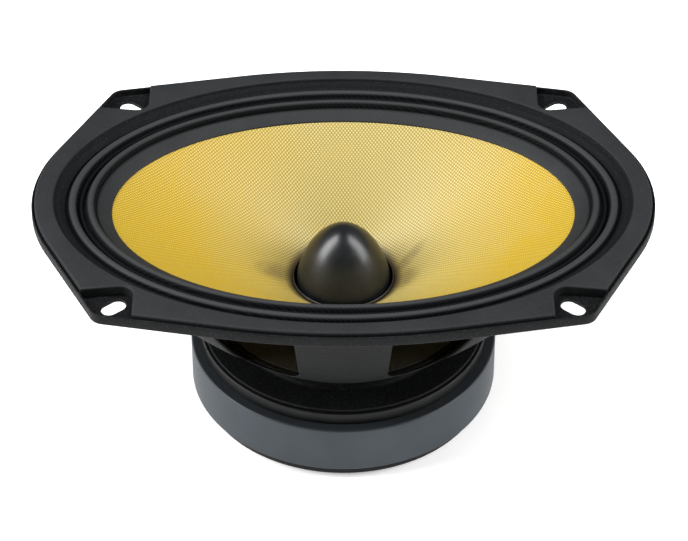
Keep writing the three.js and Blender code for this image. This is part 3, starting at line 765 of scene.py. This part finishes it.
def enamelled_wire():
    look = Look("enamelled_wire")
    tint = look.noise(300, 3)
    colour = look.fade(tint, 0.3, 0.7, (0.32, 0.10, 0.035, 1), (0.50, 0.19, 0.07, 1))
    return look.finish(colour, 0.3, look.bump(tint, 0.01, 0.3), Metallic=0.8, Coat_Weight=0.6)


LOOKS = {make.__name__: make() for make in (
    powder_coat, gasket_rubber, doped_cloth, yellow_weave, satin_black, ferrite, black_steel,
    fibre_board, tinsel_braid, spider_cloth,
)}
LOOKS["copper_winding"] = enamelled_wire()
for name, *values in (
    ("zinc_steel", grey(0.42, 1.05), grey(0.60, 1.04), 0.30),
    ("rivet_aluminium", grey(0.50, 1.03), grey(0.66, 1.03), 0.34),
    ("former_aluminium", (0.035, 0.030, 0.024, 1), (0.055, 0.047, 0.036, 1), 0.45, (80, 80, 1500), 0.6),
    ("tab_brass", (0.50, 0.34, 0.12, 1), (0.68, 0.50, 0.22, 1), 0.28, (300, 1800, 300)),
):
    LOOKS[name] = metal(name, *values)


def finished(name, shape, slot, node, body="frame", sharp=38):
    """One finished piece: a mesh with its look, which stands for a node and rides on a body."""
    piece = new_piece(name, shape)
    piece.data.shade_smooth()
    piece.data.set_sharp_from_angle(angle=radians(sharp))
    piece.data.materials.append(LOOKS[slot])
    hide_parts(node)
    if body:
        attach(piece, body)
    return piece


# --- basket
def wall_axes(height):
    """Half length and half width of the wall's outside, from height 0 at the ledge to 1."""
    length = LEDGE_RADIUS + (WALL_TOP - LEDGE_RADIUS) * height ** BELLY_LENGTH
    width = LEDGE_RADIUS + (WALL_TOP_WIDTH - LEDGE_RADIUS) * height ** BELLY_WIDTH
    return length, width


def wall_height(z):
    return (z - LEDGE_BOTTOM) / (FLANGE_BOTTOM - LEDGE_BOTTOM)


def wall_z(height):
    return LEDGE_BOTTOM + (FLANGE_BOTTOM - LEDGE_BOTTOM) * height


def wall_point(x_sign, y_sign, turn, z, inwards):
    """A point of the wall, inwards from its outside, by the turn of its oval from the X axis."""
    length, width = wall_axes(max(wall_height(z), 0))
    x = x_sign * (length - inwards) * cos(turn)
    y = y_sign * (width - inwards) * sin(turn)
    return x, y, z


def arm_wall():
    heights = (np.linspace(0, 1, WALL_RINGS) ** WALL_CROWDING * WALL_OVERLAP).tolist()
    rings = []
    for inwards, order in ((0, heights), (SHEET, heights[::-1])):
        for height in order:
            length, width = wall_axes(height)
            rings.append(ellipse(length - inwards, width - inwards, wall_z(height)))
    return loft(rings)


def evenly(outline):
    """Each straight side of a rounded window split alike, so that its outlines match up."""
    points = []
    for i, point in enumerate(outline):
        after = outline[(i + 1) % len(outline)]
        split = WINDOW_PARTS if (i + 1) % (CORNER_STEPS + 1) == 0 else 1
        points += [point + (after - point) * part / split for part in range(split)]
    return points


def window_cutter(corners_at, point_at):
    """A block through the wall whose section is a rounded window, wider at both faces.

    corners_at(grow) gives the window's corners moved out by grow, and point_at(across, z,
    inwards) a point of the wall.
    """
    rings = []
    for inwards, grow in ((-10, CHAMFER), *bevelled(0, SHEET, CHAMFER), (10, CHAMFER)):
        outline = rounded([(across, z, WINDOW_CORNER) for across, z in corners_at(grow)])
        rings.append([point_at(across, z, inwards) for across, z in evenly(outline)])
    return capped(rings)


def window_ends(grow):
    """The height of a window's lower and upper edge."""
    return wall_z(WINDOW_LOW) - grow, wall_z(WINDOW_HIGH) + grow


def side_window(x_sign, y_sign):
    def near_and_far(z, grow):
        near = ARM_HALF_WIDTH + ARM_SPREAD * wall_height(z) - grow
        far = WINDOW_FAR + WINDOW_SPREAD * wall_height(z) + grow
        return [(near, z), (far, z)]

    def corners_at(grow):
        low, high = window_ends(grow)
        return near_and_far(low, grow) + near_and_far(high, grow)[::-1]

    def point_at(x, z, inwards):
        length, _ = wall_axes(max(wall_height(z), 0))
        return wall_point(x_sign, y_sign, acos(x / length), z, inwards)

    return window_cutter(corners_at, point_at)


def end_window(x_sign):
    def half_at(z, grow):
        return END_WINDOW + END_WINDOW_SPREAD * wall_height(z) + grow

    def corners_at(grow):
        low, high = window_ends(grow)
        low_half, high_half = half_at(low, grow), half_at(high, grow)
        return [(-low_half, low), (low_half, low), (high_half, high), (-high_half, high)]

    def point_at(y, z, inwards):
        _, width = wall_axes(max(wall_height(z), 0))
        return wall_point(x_sign, 1, asin(y / width), z, inwards)

    return window_cutter(corners_at, point_at)


def flange():
    """The flange and its turned-up lip, with the oval opening."""
    outline = flange_outline(0)
    lip = rounded([
        (3, FLANGE_BOTTOM, 0), (0, FLANGE_BOTTOM, 0.7), (0, LIP_TOP, LIP_EDGE),
        (LIP_WIDTH, LIP_TOP, LIP_EDGE), (LIP_WIDTH, FLANGE_TOP, 0.5), (4, FLANGE_TOP, 0),
    ], SMALL_STEPS)
    rings = [flange_ring(inset, z) for inset, z in lip]
    opening = (
        (OPENING + OPENING_EDGE, FLANGE_TOP), (OPENING, FLANGE_TOP - OPENING_EDGE), (OPENING, FLANGE_BOTTOM),
    )
    return loft(rings + [oval_under(outline, length, z) for length, z in opening])


def slot_outline(grow):
    """One ear's screw slot, as x and y."""
    along = radians(SLOT_ANGLE)
    radius = SLOT_WIDTH / 2 + grow
    outline = []
    for side in (1, -1):
        x = SLOT_X + side * SLOT_TRAVEL / 2 * cos(along)
        y = SLOT_Y + side * SLOT_TRAVEL / 2 * sin(along)
        first = along - side * pi / 2
        for angle in np.linspace(first, first + pi, SLOT_POINTS):
            outline.append((x + radius * cos(angle), y + radius * sin(angle)))
    return outline


def slots():
    """Cutters for the four ears' slots, with a broken edge on both faces of the flange."""
    edges = bevelled(FLANGE_BOTTOM, FLANGE_TOP, CHAMFER)
    levels = ((FLANGE_BOTTOM - 5, CHAMFER), *edges, (FLANGE_TOP + 12, CHAMFER))
    return in_each_quadrant(slot_outline, levels)


def bowl():
    """Ledge, neck and base ring."""
    inner = NECK_RADIUS - SHEET
    return turned_solid([
        (BASE_BORE, BASE_BOTTOM, 0.2), (BASE_RADIUS, BASE_BOTTOM, 0.4),
        (BASE_RADIUS, BASE_TOP, 0.4), (NECK_RADIUS, BASE_TOP, NECK_BEND),
        (NECK_RADIUS, LEDGE_BOTTOM, NECK_BEND), (LEDGE_RADIUS, LEDGE_BOTTOM, 0.5),
        (LEDGE_RADIUS, LEDGE_TOP, 0.3), (inner, LEDGE_TOP, NECK_BEND / 2),
        (inner, BASE_TOP, NECK_BEND / 2), (BASE_BORE, BASE_TOP, 0.3),
    ])


def screw_places():
    """The x and y of the four basket screws."""
    turns = [radians(angle) for angle in SCREW_ANGLES]
    return [(SCREW_CIRCLE * cos(turn), SCREW_CIRCLE * sin(turn)) for turn in turns]


def screw_holes(bottom, top):
    return [shifted(rod(SCREW_HOLE, bottom, top), x, y) for x, y in screw_places()]


def on_rear_arm(shape):
    """Moves a shape made with +Z out of the rear arm's outer face to its place there."""
    _, width = wall_axes(BOARD_HEIGHT)
    place = Matrix.Translation((0, width, wall_z(BOARD_HEIGHT)))
    return moved(shape, place @ Matrix.Rotation(-pi / 2 - ARM_LEAN, 4, "X"))


def basket():
    windows = [side_window(x_sign, y_sign) for x_sign, y_sign in QUADRANTS]
    windows += [end_window(x_sign) for x_sign in (1, -1)]
    wall = combine(arm_wall(), "DIFFERENCE", merged(*windows))
    plate = combine(flange(), "DIFFERENCE", slots())
    body = combine(combine(plate, "UNION", wall), "UNION", bowl())
    holes = screw_holes(20, 36)
    holes += [on_rear_arm(shifted(rod(RIVET_HOLE, -8, 4), side * RIVET_OFFSET)) for side in (-1, 1)]
    return combine(body, "DIFFERENCE", merged(*holes))


# --- gasket
def ear_outline(grow):
    """The clear corner of one ear, beyond EAR_X and EAR_Y."""
    far = BEYOND_OUTLINE
    return rounded([
        (EAR_X - grow, EAR_Y - grow, EAR_CORNER),
        (far, EAR_Y + EAR_SLOPE * (far - EAR_X) - grow, 0),
        (far, far, 0),
        (EAR_X - grow, far, 0),
    ], EAR_STEPS)


def front_gasket():
    """A moulded ring with a stepped inner wall, cut away at the four ears."""
    outline = flange_outline(0)
    shoulder = GASKET_TOP - GASKET_EDGE
    edge = [(inset, shoulder + rise) for inset, rise in quarter_round(GASKET_EDGE)]
    foot = GASKET_STEPS[-1][0]
    groove, groove_top = EDGE_LAND + 0.3, EDGE_TOP + 0.15
    inside = rounded([
        (115, GASKET_TOP, 0),
        (GASKET_INNER, GASKET_TOP, 0.7),
        *GASKET_STEPS,
        (foot, groove_top, 0.1), (groove, groove_top, 0), (groove, FLANGE_TOP, 0),
    ], SMALL_STEPS)[1:]
    rings = [flange_ring(GASKET_INSET, FLANGE_TOP)]
    rings += [flange_ring(GASKET_INSET + inset, z) for inset, z in edge]
    rings += [oval_under(outline, length, z) for length, z in inside]
    ear_levels = [(FLANGE_TOP - 3, 0), (shoulder, 0)]
    ear_levels += [(z, inset) for inset, z in edge[1:]]
    ear_levels.append((GASKET_TOP + 3, GASKET_EDGE + 0.05))
    return combine(loft(rings), "DIFFERENCE", in_each_quadrant(ear_outline, ear_levels))


# --- cone, surround and spider
def cone_edge_z(length):
    """Height of the cone under the land, which lies on it at one slope all round."""
    slope = (LAND_OUTER[1] - LAND_RISE - CONE_EDGE_Z) / (LAND_OUTER[0] - CONE_EDGE)
    return CONE_EDGE_Z + slope * (length - CONE_EDGE)


def surround():
    top = [(EDGE_LAND, EDGE_TOP), (EDGE_INNER, EDGE_TOP)]
    for centre, half, foot, height in ROLLS:
        for turn in np.linspace(0, pi, ROLL_POINTS):
            top.append((centre + half * cos(turn), foot + height * sin(turn)))
    for length in (LAND_OUTER[0], 91.2, CONE_EDGE + 0.45):
        top.append((length, cone_edge_z(length) + LAND_RISE))
    under = [(length, z - EDGE_SKIN) for length, z in top]
    end = [(CONE_EDGE + 0.12, CONE_EDGE_Z + 0.55), (CONE_EDGE, CONE_EDGE_Z + 0.3)]
    return oval_turned([(CONE_EDGE + 0.05, CONE_EDGE_Z + 0.08), *under[::-1], *top, *end])


def cone_point(station, drop):
    """Half length, half width and height from the neck, station 0, to the edge, station 1."""
    rise = station * (1 + CONE_BOW * (1 - station))
    length = CONE_NECK + (CONE_EDGE - CONE_NECK) * station
    width = CONE_NECK + (CONE_EDGE_WIDTH - CONE_NECK) * station
    return length, width, CONE_NECK_Z + (CONE_EDGE_Z - CONE_NECK_Z) * rise - drop


def cone():
    stations = np.linspace(0, 1, CONE_RINGS).tolist()
    face = [cone_point(station, 0) for station in stations]
    back = [cone_point(station, CONE_SKIN) for station in stations]
    lip_z = cone_edge_z(CONE_LIP)
    lip = [(CONE_LIP, half_width(CONE_LIP), z) for z in (lip_z - CONE_SKIN, lip_z)]
    return loft([ellipse(*row) for row in back + lip + face[::-1]])


def spider():
    """A corrugated disc from the former's collar to the basket's ledge."""
    level = LEDGE_TOP + 0.05
    line = raised(SPIDER_COLLAR, level)
    for radius in np.linspace(WAVES_START, WAVES_END, SPIDER_RINGS):
        share = (radius - WAVES_START) / (WAVES_END - WAVES_START)
        line.append((radius, level + WAVE_HEIGHT * sin(share * WAVES * pi)))
    line += [(radius, level) for radius in SPIDER_RIM]
    return turned(line + raised(line, SPIDER_SKIN)[::-1], AROUND)


def former():
    return turned_solid([
        (FORMER_INNER, FORMER_BOTTOM, 0.1), (FORMER_OUTER, FORMER_BOTTOM, 0.1),
        (FORMER_OUTER, FORMER_TOP, 0.2), (FORMER_INNER, FORMER_TOP, 0.2),
    ], TURN, 3)


def winding():
    """Copper wire wound on the former, each turn a small rounded rib."""
    pitch = (COIL_TOP - COIL_BOTTOM) / COIL_TURNS
    outside = []
    for i in range(COIL_TURNS):
        for part in (0.1, 0.3, 0.5, 0.7, 0.9):
            bulge = WIRE_BULGE * sin(part * pi)
            outside.append((COIL_GROOVE + bulge, COIL_BOTTOM + (i + part) * pitch))
    return turned([(COIL_INNER, COIL_BOTTOM), *outside, (COIL_INNER, COIL_TOP)], 120)


# --- motor
def magnet_ring():
    return turned_solid([
        (MAGNET_BORE, PLATE, 0.3), (MAGNET_RADIUS, PLATE, ROUNDED_RIM),
        (MAGNET_RADIUS, MAGNET_TOP, ROUNDED_RIM), (MAGNET_BORE, MAGNET_TOP, 0.3),
    ])


def top_plate():
    body = turned_solid([
        (AIR_GAP_RADIUS, MAGNET_TOP, 0.2), (TOP_PLATE_RADIUS, MAGNET_TOP, PLATE_EDGE),
        (TOP_PLATE_RADIUS, BASE_BOTTOM, PLATE_EDGE), (AIR_GAP_RADIUS, BASE_BOTTOM, 0.2),
    ])
    return combine(body, "DIFFERENCE", merged(*screw_holes(20, 40)))


def back_plate():
    return turned_solid([
        (BOLT_BORE, RECESS_DEPTH, 0), (RECESS_RADIUS, RECESS_DEPTH, 0),
        (RECESS_RADIUS, 0, 0.4), (BACK_PLATE_RADIUS, 0, ROUNDED_RIM),
        (BACK_PLATE_RADIUS, PLATE, PLATE_EDGE), (BOLT_BORE, PLATE, 0),
    ])


def pole_piece():
    return turned_solid([
        (BOLT_BORE, PLATE, 0), (POLE_RADIUS, PLATE, 0),
        (POLE_RADIUS, POLE_TOP, 0.6), (BOLT_BORE, POLE_TOP, 0),
    ], TURN)


def phase_plug():
    """A bullet on the pole, with a blind hole for its screw."""
    hole_end = BOLT_TOP + 1
    profile = [
        (0, hole_end), (BOLT_BORE, hole_end), (BOLT_BORE, POLE_TOP),
        (PLUG_RADIUS - 0.5, POLE_TOP), (PLUG_RADIUS - 0.15, POLE_TOP + 0.15),
        (PLUG_RADIUS, POLE_TOP + 0.5),
    ]
    for turn in np.linspace(0, pi / 2, PLUG_RINGS)[:-1]:
        rise = sin(turn)
        radius = PLUG_RADIUS * (1 - rise ** PLUG_SWELL) ** PLUG_TIP
        profile.append((radius, PLUG_SHOULDER + PLUG_HEIGHT * rise))
    profile.append((0, PLUG_SHOULDER + PLUG_HEIGHT))
    return turned(profile, closed=False)


def plug_screw():
    """A socket screw that sits in the back plate's counterbore."""
    face, socket = BOLT_SINK, BOLT_SINK + HEX_DEPTH
    return turned([
        (0, socket), (HEX_RADIUS - 0.2, socket), (HEX_RADIUS, face + 0.2), (HEX_RADIUS + 0.1, face),
        (BOLT_HEAD - 0.4, face), (BOLT_HEAD - 0.1, face + 0.15),
        (BOLT_HEAD, face + 0.45), (BOLT_HEAD, RECESS_DEPTH),
        (BOLT_RADIUS, RECESS_DEPTH), (BOLT_RADIUS, BOLT_TOP - 0.5),
        (BOLT_RADIUS - 0.5, BOLT_TOP), (0, BOLT_TOP),
    ], 64, closed=False)


def cross_recess():
    """Two crossed bars, to cut into a pan head."""
    bars = []
    for x, y in ((CROSS_LENGTH, CROSS_WIDTH), (CROSS_WIDTH, CROSS_LENGTH)):
        bars.append(capped([[(px, py, z) for px, py in rectangle(x, y)] for z in (-1.5, 1.5)]))
    return shifted(combine(bars[0], "UNION", bars[1]), 0, 0, BASE_TOP + CROSS_FLOOR + 1.5)


def basket_screw():
    tip = BASE_BOTTOM - SCREW_LENGTH
    shank = [(0, tip), (SCREW_RADIUS - 0.3, tip), (SCREW_RADIUS, tip + 0.4), (SCREW_RADIUS, BASE_TOP)]
    body = turned(shank + raised(PAN_HEAD, BASE_TOP), 48, closed=False)
    return combine(body, "DIFFERENCE", cross_recess())


# --- terminals and leads
def terminal_board():
    block = soft_block(BOARD_LENGTH, BOARD_WIDTH, BOARD_GAP, BOARD_FACE, 1.5, 0.2)
    holes = []
    for radius, offset in ((RIVET_HOLE, RIVET_OFFSET), (EYELET_HOLE, TAB_OFFSET)):
        holes += [shifted(rod(radius, -8, 8), side * offset) for side in (-1, 1)]
    return on_rear_arm(combine(block, "DIFFERENCE", merged(*holes)))


def terminal_rivet(side):
    """A tubular rivet: domed head with a hollow middle, and a rolled tail inside the arm."""
    tail = [
        (0, 1.2), (RIVET_BORE, 1.2), (RIVET_BORE, -0.6), (1.2, -1),
        (2.1, -1), (2.55, -0.5), (2.6, 0), (RIVET_RADIUS, 0),
    ]
    head = [
        (RIVET_RADIUS, 0), (3, 0), (2.9, 0.5), (2.4, 1.1), (1.7, 1.4), (1.2, 1.3),
        (RIVET_BORE, 0.9), (RIVET_BORE, -1), (0, -1),
    ]
    profile = raised(tail, -SHEET - RIVET_TAIL) + raised(head, BOARD_FACE + HEAD_GAP)
    return on_rear_arm(shifted(turned(profile, 40, closed=False), side * RIVET_OFFSET))


def tab_blade(width, face):
    """The upright blade of a tab, with a pointed tip and a hole."""
    half, thick = width / 2, TAB_THICKNESS / 2
    back = -(TAB_FOOT - TAB_THICKNESS) / 2
    outline = [
        (-half, 0.1), (half, 0.1), (half, TAB_BLADE - 1), (half - TAB_TIP, TAB_BLADE),
        (-half + TAB_TIP, TAB_BLADE), (-half, TAB_BLADE - 1),
    ]
    rings = []
    for depth, inset in bevelled(-thick, thick, TAB_EDGE):
        shrink = 1 - inset / half
        rings.append([
            (x * shrink, back + depth, face + z - (inset if z > TAB_BLADE / 2 else 0))
            for x, z in outline])
    place = Matrix.Translation((0, 0, face + 6)) @ Matrix.Rotation(pi / 2, 4, "X")
    hole = moved(rod(0.9, -6, 6, 24), place)
    return combine(capped(rings), "DIFFERENCE", hole)


def eyelet(face):
    """The rolled tube that holds a tab to the board."""
    tail = [(0, 0), (EYELET_RADIUS - 0.2, 0), (EYELET_RADIUS, 0.2)]
    head = [(EYELET_RADIUS, 0), (1.75, 0), (1.8, 0.3), (1.4, 0.55), (0.8, 0.5), (0.6, 0.1), (0, 0.1)]
    profile = raised(tail, EYELET_END) + raised(head, face + TAB_THICKNESS)
    return turned(profile, 32, closed=False)


def terminal_tab(side, width):
    """A push-on tab: a lug riveted to the board by its eyelet, and a blade with a hole."""
    face = BOARD_FACE + HEAD_GAP
    lug = shifted(soft_block(width, TAB_FOOT, 0, TAB_THICKNESS, 0.6, TAB_EDGE), 0, 0, face)
    tab = combine(combine(lug, "UNION", tab_blade(width, face)), "UNION", eyelet(face))
    return on_rear_arm(shifted(tab, side * TAB_OFFSET))


def smooth_path(points, parts=14):
    """A Catmull-Rom path through points."""
    points = [np.array(point, float) for point in points]
    ends = [2 * points[0] - points[1], *points, 2 * points[-1] - points[-2]]
    path = []
    for a, b, c, d in zip(ends, ends[1:], ends[2:], ends[3:]):
        for t in np.linspace(0, 1, parts, endpoint=False):
            path.append(0.5 * (2 * b + (c - a) * t + (2 * a - 5 * b + 4 * c - d) * t ** 2
                               + (3 * b - a - 3 * c + d) * t ** 3))
    return np.array([*path, points[-1]])


def strand(path, start):
    """One strand of a rope along a path, which winds round it from the angle start."""
    tangents = np.gradient(path, axis=0)
    tangents /= np.linalg.norm(tangents, axis=1)[:, None]
    across = np.cross(tangents[0], (1, 0, 0))
    across /= np.linalg.norm(across)
    travelled = 0.0
    rings = []
    for i, (point, tangent) in enumerate(zip(path, tangents)):
        if i:
            travelled += np.linalg.norm(point - path[i - 1])
        across = across - tangent * (across @ tangent)
        across /= np.linalg.norm(across)
        other = np.cross(tangent, across)
        turn = start + STRAND_TWIST * travelled
        centre = point + STRAND_OFFSET * (cos(turn) * across + sin(turn) * other)
        rings.append([
            centre + STRAND_RADIUS * (cos(angle) * across + sin(angle) * other)
            for angle in np.linspace(0, 2 * pi, STRAND_SIDES, endpoint=False)])
    return capped(rings)


def tinsel_lead(side):
    """Twisted strands from the tab's eyelet, through the window, to the cone's back."""
    behind_tab = [(side * TAB_OFFSET, 0, depth) for depth in (-1.6, -5)]
    ends, _ = on_rear_arm((behind_tab, []))
    path = smooth_path([*[tuple(end) for end in ends], *[(side * x, y, z) for x, y, z in LEAD_WAY]])
    return merged(*[strand(path, 2 * pi * i / STRANDS) for i in range(STRANDS)])


# --- pieces
def radial_weights(piece, weight_at):
    """Bakes a piece's place into its mesh and works out each point's weight by distance from the axis, 0 for
    the frame and 1 for the cone assembly; the weights are not applied.
    """
    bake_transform(piece)
    weights = [weight_at(vertex.co.x / MM, vertex.co.y / MM) for vertex in piece.data.vertices]


def eased(value):
    value = min(max(value, 0), 1)
    return value * value * (3 - 2 * value)


def oval_reach(x, y):
    """The half length of the oval that passes through a point of the surround, by halving."""
    low, high = 80.0, 112.0
    for _ in range(24):
        middle = (low + high) / 2
        outside = (x / middle) ** 2 + (y / half_width(middle)) ** 2 > 1
        low, high = (middle, high) if outside else (low, middle)
    return low


def surround_weight(x, y):
    return eased((SURROUND_FIXED - oval_reach(x, y)) / (SURROUND_FIXED - SURROUND_MOVING))


def spider_weight(x, y):
    return eased((SPIDER_FIXED - hypot(x, y)) / (SPIDER_FIXED - WAVES_START))


finished("basket_pressing", basket(), "powder_coat", "basket")
finished("front_gasket_moulding", front_gasket(), "gasket_rubber", "front_gasket")
finished("magnet_ring", magnet_ring(), "ferrite", "magnet")
finished("top_plate_ring", top_plate(), "black_steel", "top_plate")
finished("back_plate_disc", back_plate(), "black_steel", "back_plate")
finished("pole_piece_core", pole_piece(), "black_steel", "pole_piece")
finished("phase_plug_bullet", phase_plug(), "satin_black", "phase_plug", sharp=60)
finished("phase_plug_bolt", plug_screw(), "zinc_steel", "phase_plug_screw")
for number, (x, y) in enumerate(screw_places(), 1):
    screw = shifted(basket_screw(), x, y)
    finished(f"basket_pan_screw_{number}", screw, "zinc_steel", f"basket_screw_{number}")
finished("terminal_board_strip", terminal_board(), "fibre_board", "terminal_board")
for hand, side in (("left", -1), ("right", 1)):
    rivet = terminal_rivet(side)
    finished(f"terminal_rivet_tube_{hand}", rivet, "rivet_aluminium", f"terminal_rivet_{hand}")
for pole, side in (("positive", 1), ("negative", -1)):
    tab = terminal_tab(side, TAB_WIDTHS[pole])
    finished(f"terminal_blade_{pole}", tab, "tab_brass", f"terminal_tab_{pole}")

finished("cone_weave", cone(), "yellow_weave", "cone", "cone_assembly")
finished("voice_coil_former_tube", former(), "former_aluminium", "voice_coil_former", "cone_assembly")
finished("voice_coil_turns", winding(), "copper_winding", "voice_coil_winding", "cone_assembly")

surround_cloth = finished("surround_cloth", surround(), "doped_cloth", "surround", None)
radial_weights(surround_cloth, surround_weight)
spider_disc = finished("spider_disc", spider(), "spider_cloth", "spider", None)
radial_weights(spider_disc, spider_weight)
for hand, side, node in (("left", -1, "tinsel_lead_negative"), ("right", 1, "tinsel_lead_positive")):
    lead = finished(f"tinsel_rope_{hand}", tinsel_lead(side), "tinsel_braid", node, None)
    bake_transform(lead)


# --- floor, light and camera
def floor():
    look = Look("studio_floor")
    white = look.mix(look.noise(3, 2), (0.86, 0.86, 0.86, 1), (0.88, 0.88, 0.88, 1))
    side, back = FLOOR_SIDE, FLOOR_BACK
    corners = [(x, y, FLOOR_LEVEL) for x, y in ((-side, -side), (side, -side), (side, back), (-side, back))]
    plane = new_piece("studio_floor", (corners, [(0, 1, 2, 3)]))
    finish = look.finish(white, 0.9, Emission_Color=grey(1), Emission_Strength=FLOOR_GLOW)
    plane.data.materials.append(finish)


def set_back(thing, target, azimuth, elevation, distance):
    """Aims a lamp or camera at target. Azimuth 0 is at the camera's side, 90 on the right."""
    turn, lift = radians(azimuth), radians(elevation)
    outward = Vector((sin(turn) * cos(lift), -cos(turn) * cos(lift), sin(lift)))
    thing.location = target + outward * distance
    thing.rotation_euler = outward.to_track_quat("Z", "Y").to_euler()


def softbox(name, azimuth, power):
    light = bpy.data.lights.new(name, "AREA")
    light.shape = "RECTANGLE"
    light.size, light.size_y = SOFTBOX_SIZE
    light.energy = power
    set_back(new_object(name, light), LIGHT_TARGET, azimuth, SOFTBOX_ELEVATION, SOFTBOX_DISTANCE)


def world():
    backdrop = bpy.data.worlds.new("studio")
    backdrop.use_nodes = True
    shade = backdrop.node_tree.nodes["Background"]
    shade.inputs["Color"].default_value = (1.0, 1.0, 1.0, 1)
    shade.inputs["Strength"].default_value = WORLD_BRIGHTNESS
    bpy.context.scene.world = backdrop


def camera():
    lens = bpy.data.cameras.new("camera")
    lens.lens = CAMERA_LENS
    lens.sensor_width = CAMERA_SENSOR
    lens.shift_x = CAMERA_SHIFT
    lens.clip_start = 0.05
    viewer = new_object("camera", lens)
    set_back(viewer, CAMERA_TARGET, 0, CAMERA_ELEVATION, CAMERA_DISTANCE)
    bpy.context.scene.camera = viewer


floor()
world()
softbox("softbox_left", azimuth=-82, power=57)
softbox("softbox_right", azimuth=80, power=40)
camera()
bpy.context.scene.view_settings.view_transform = "Standard"
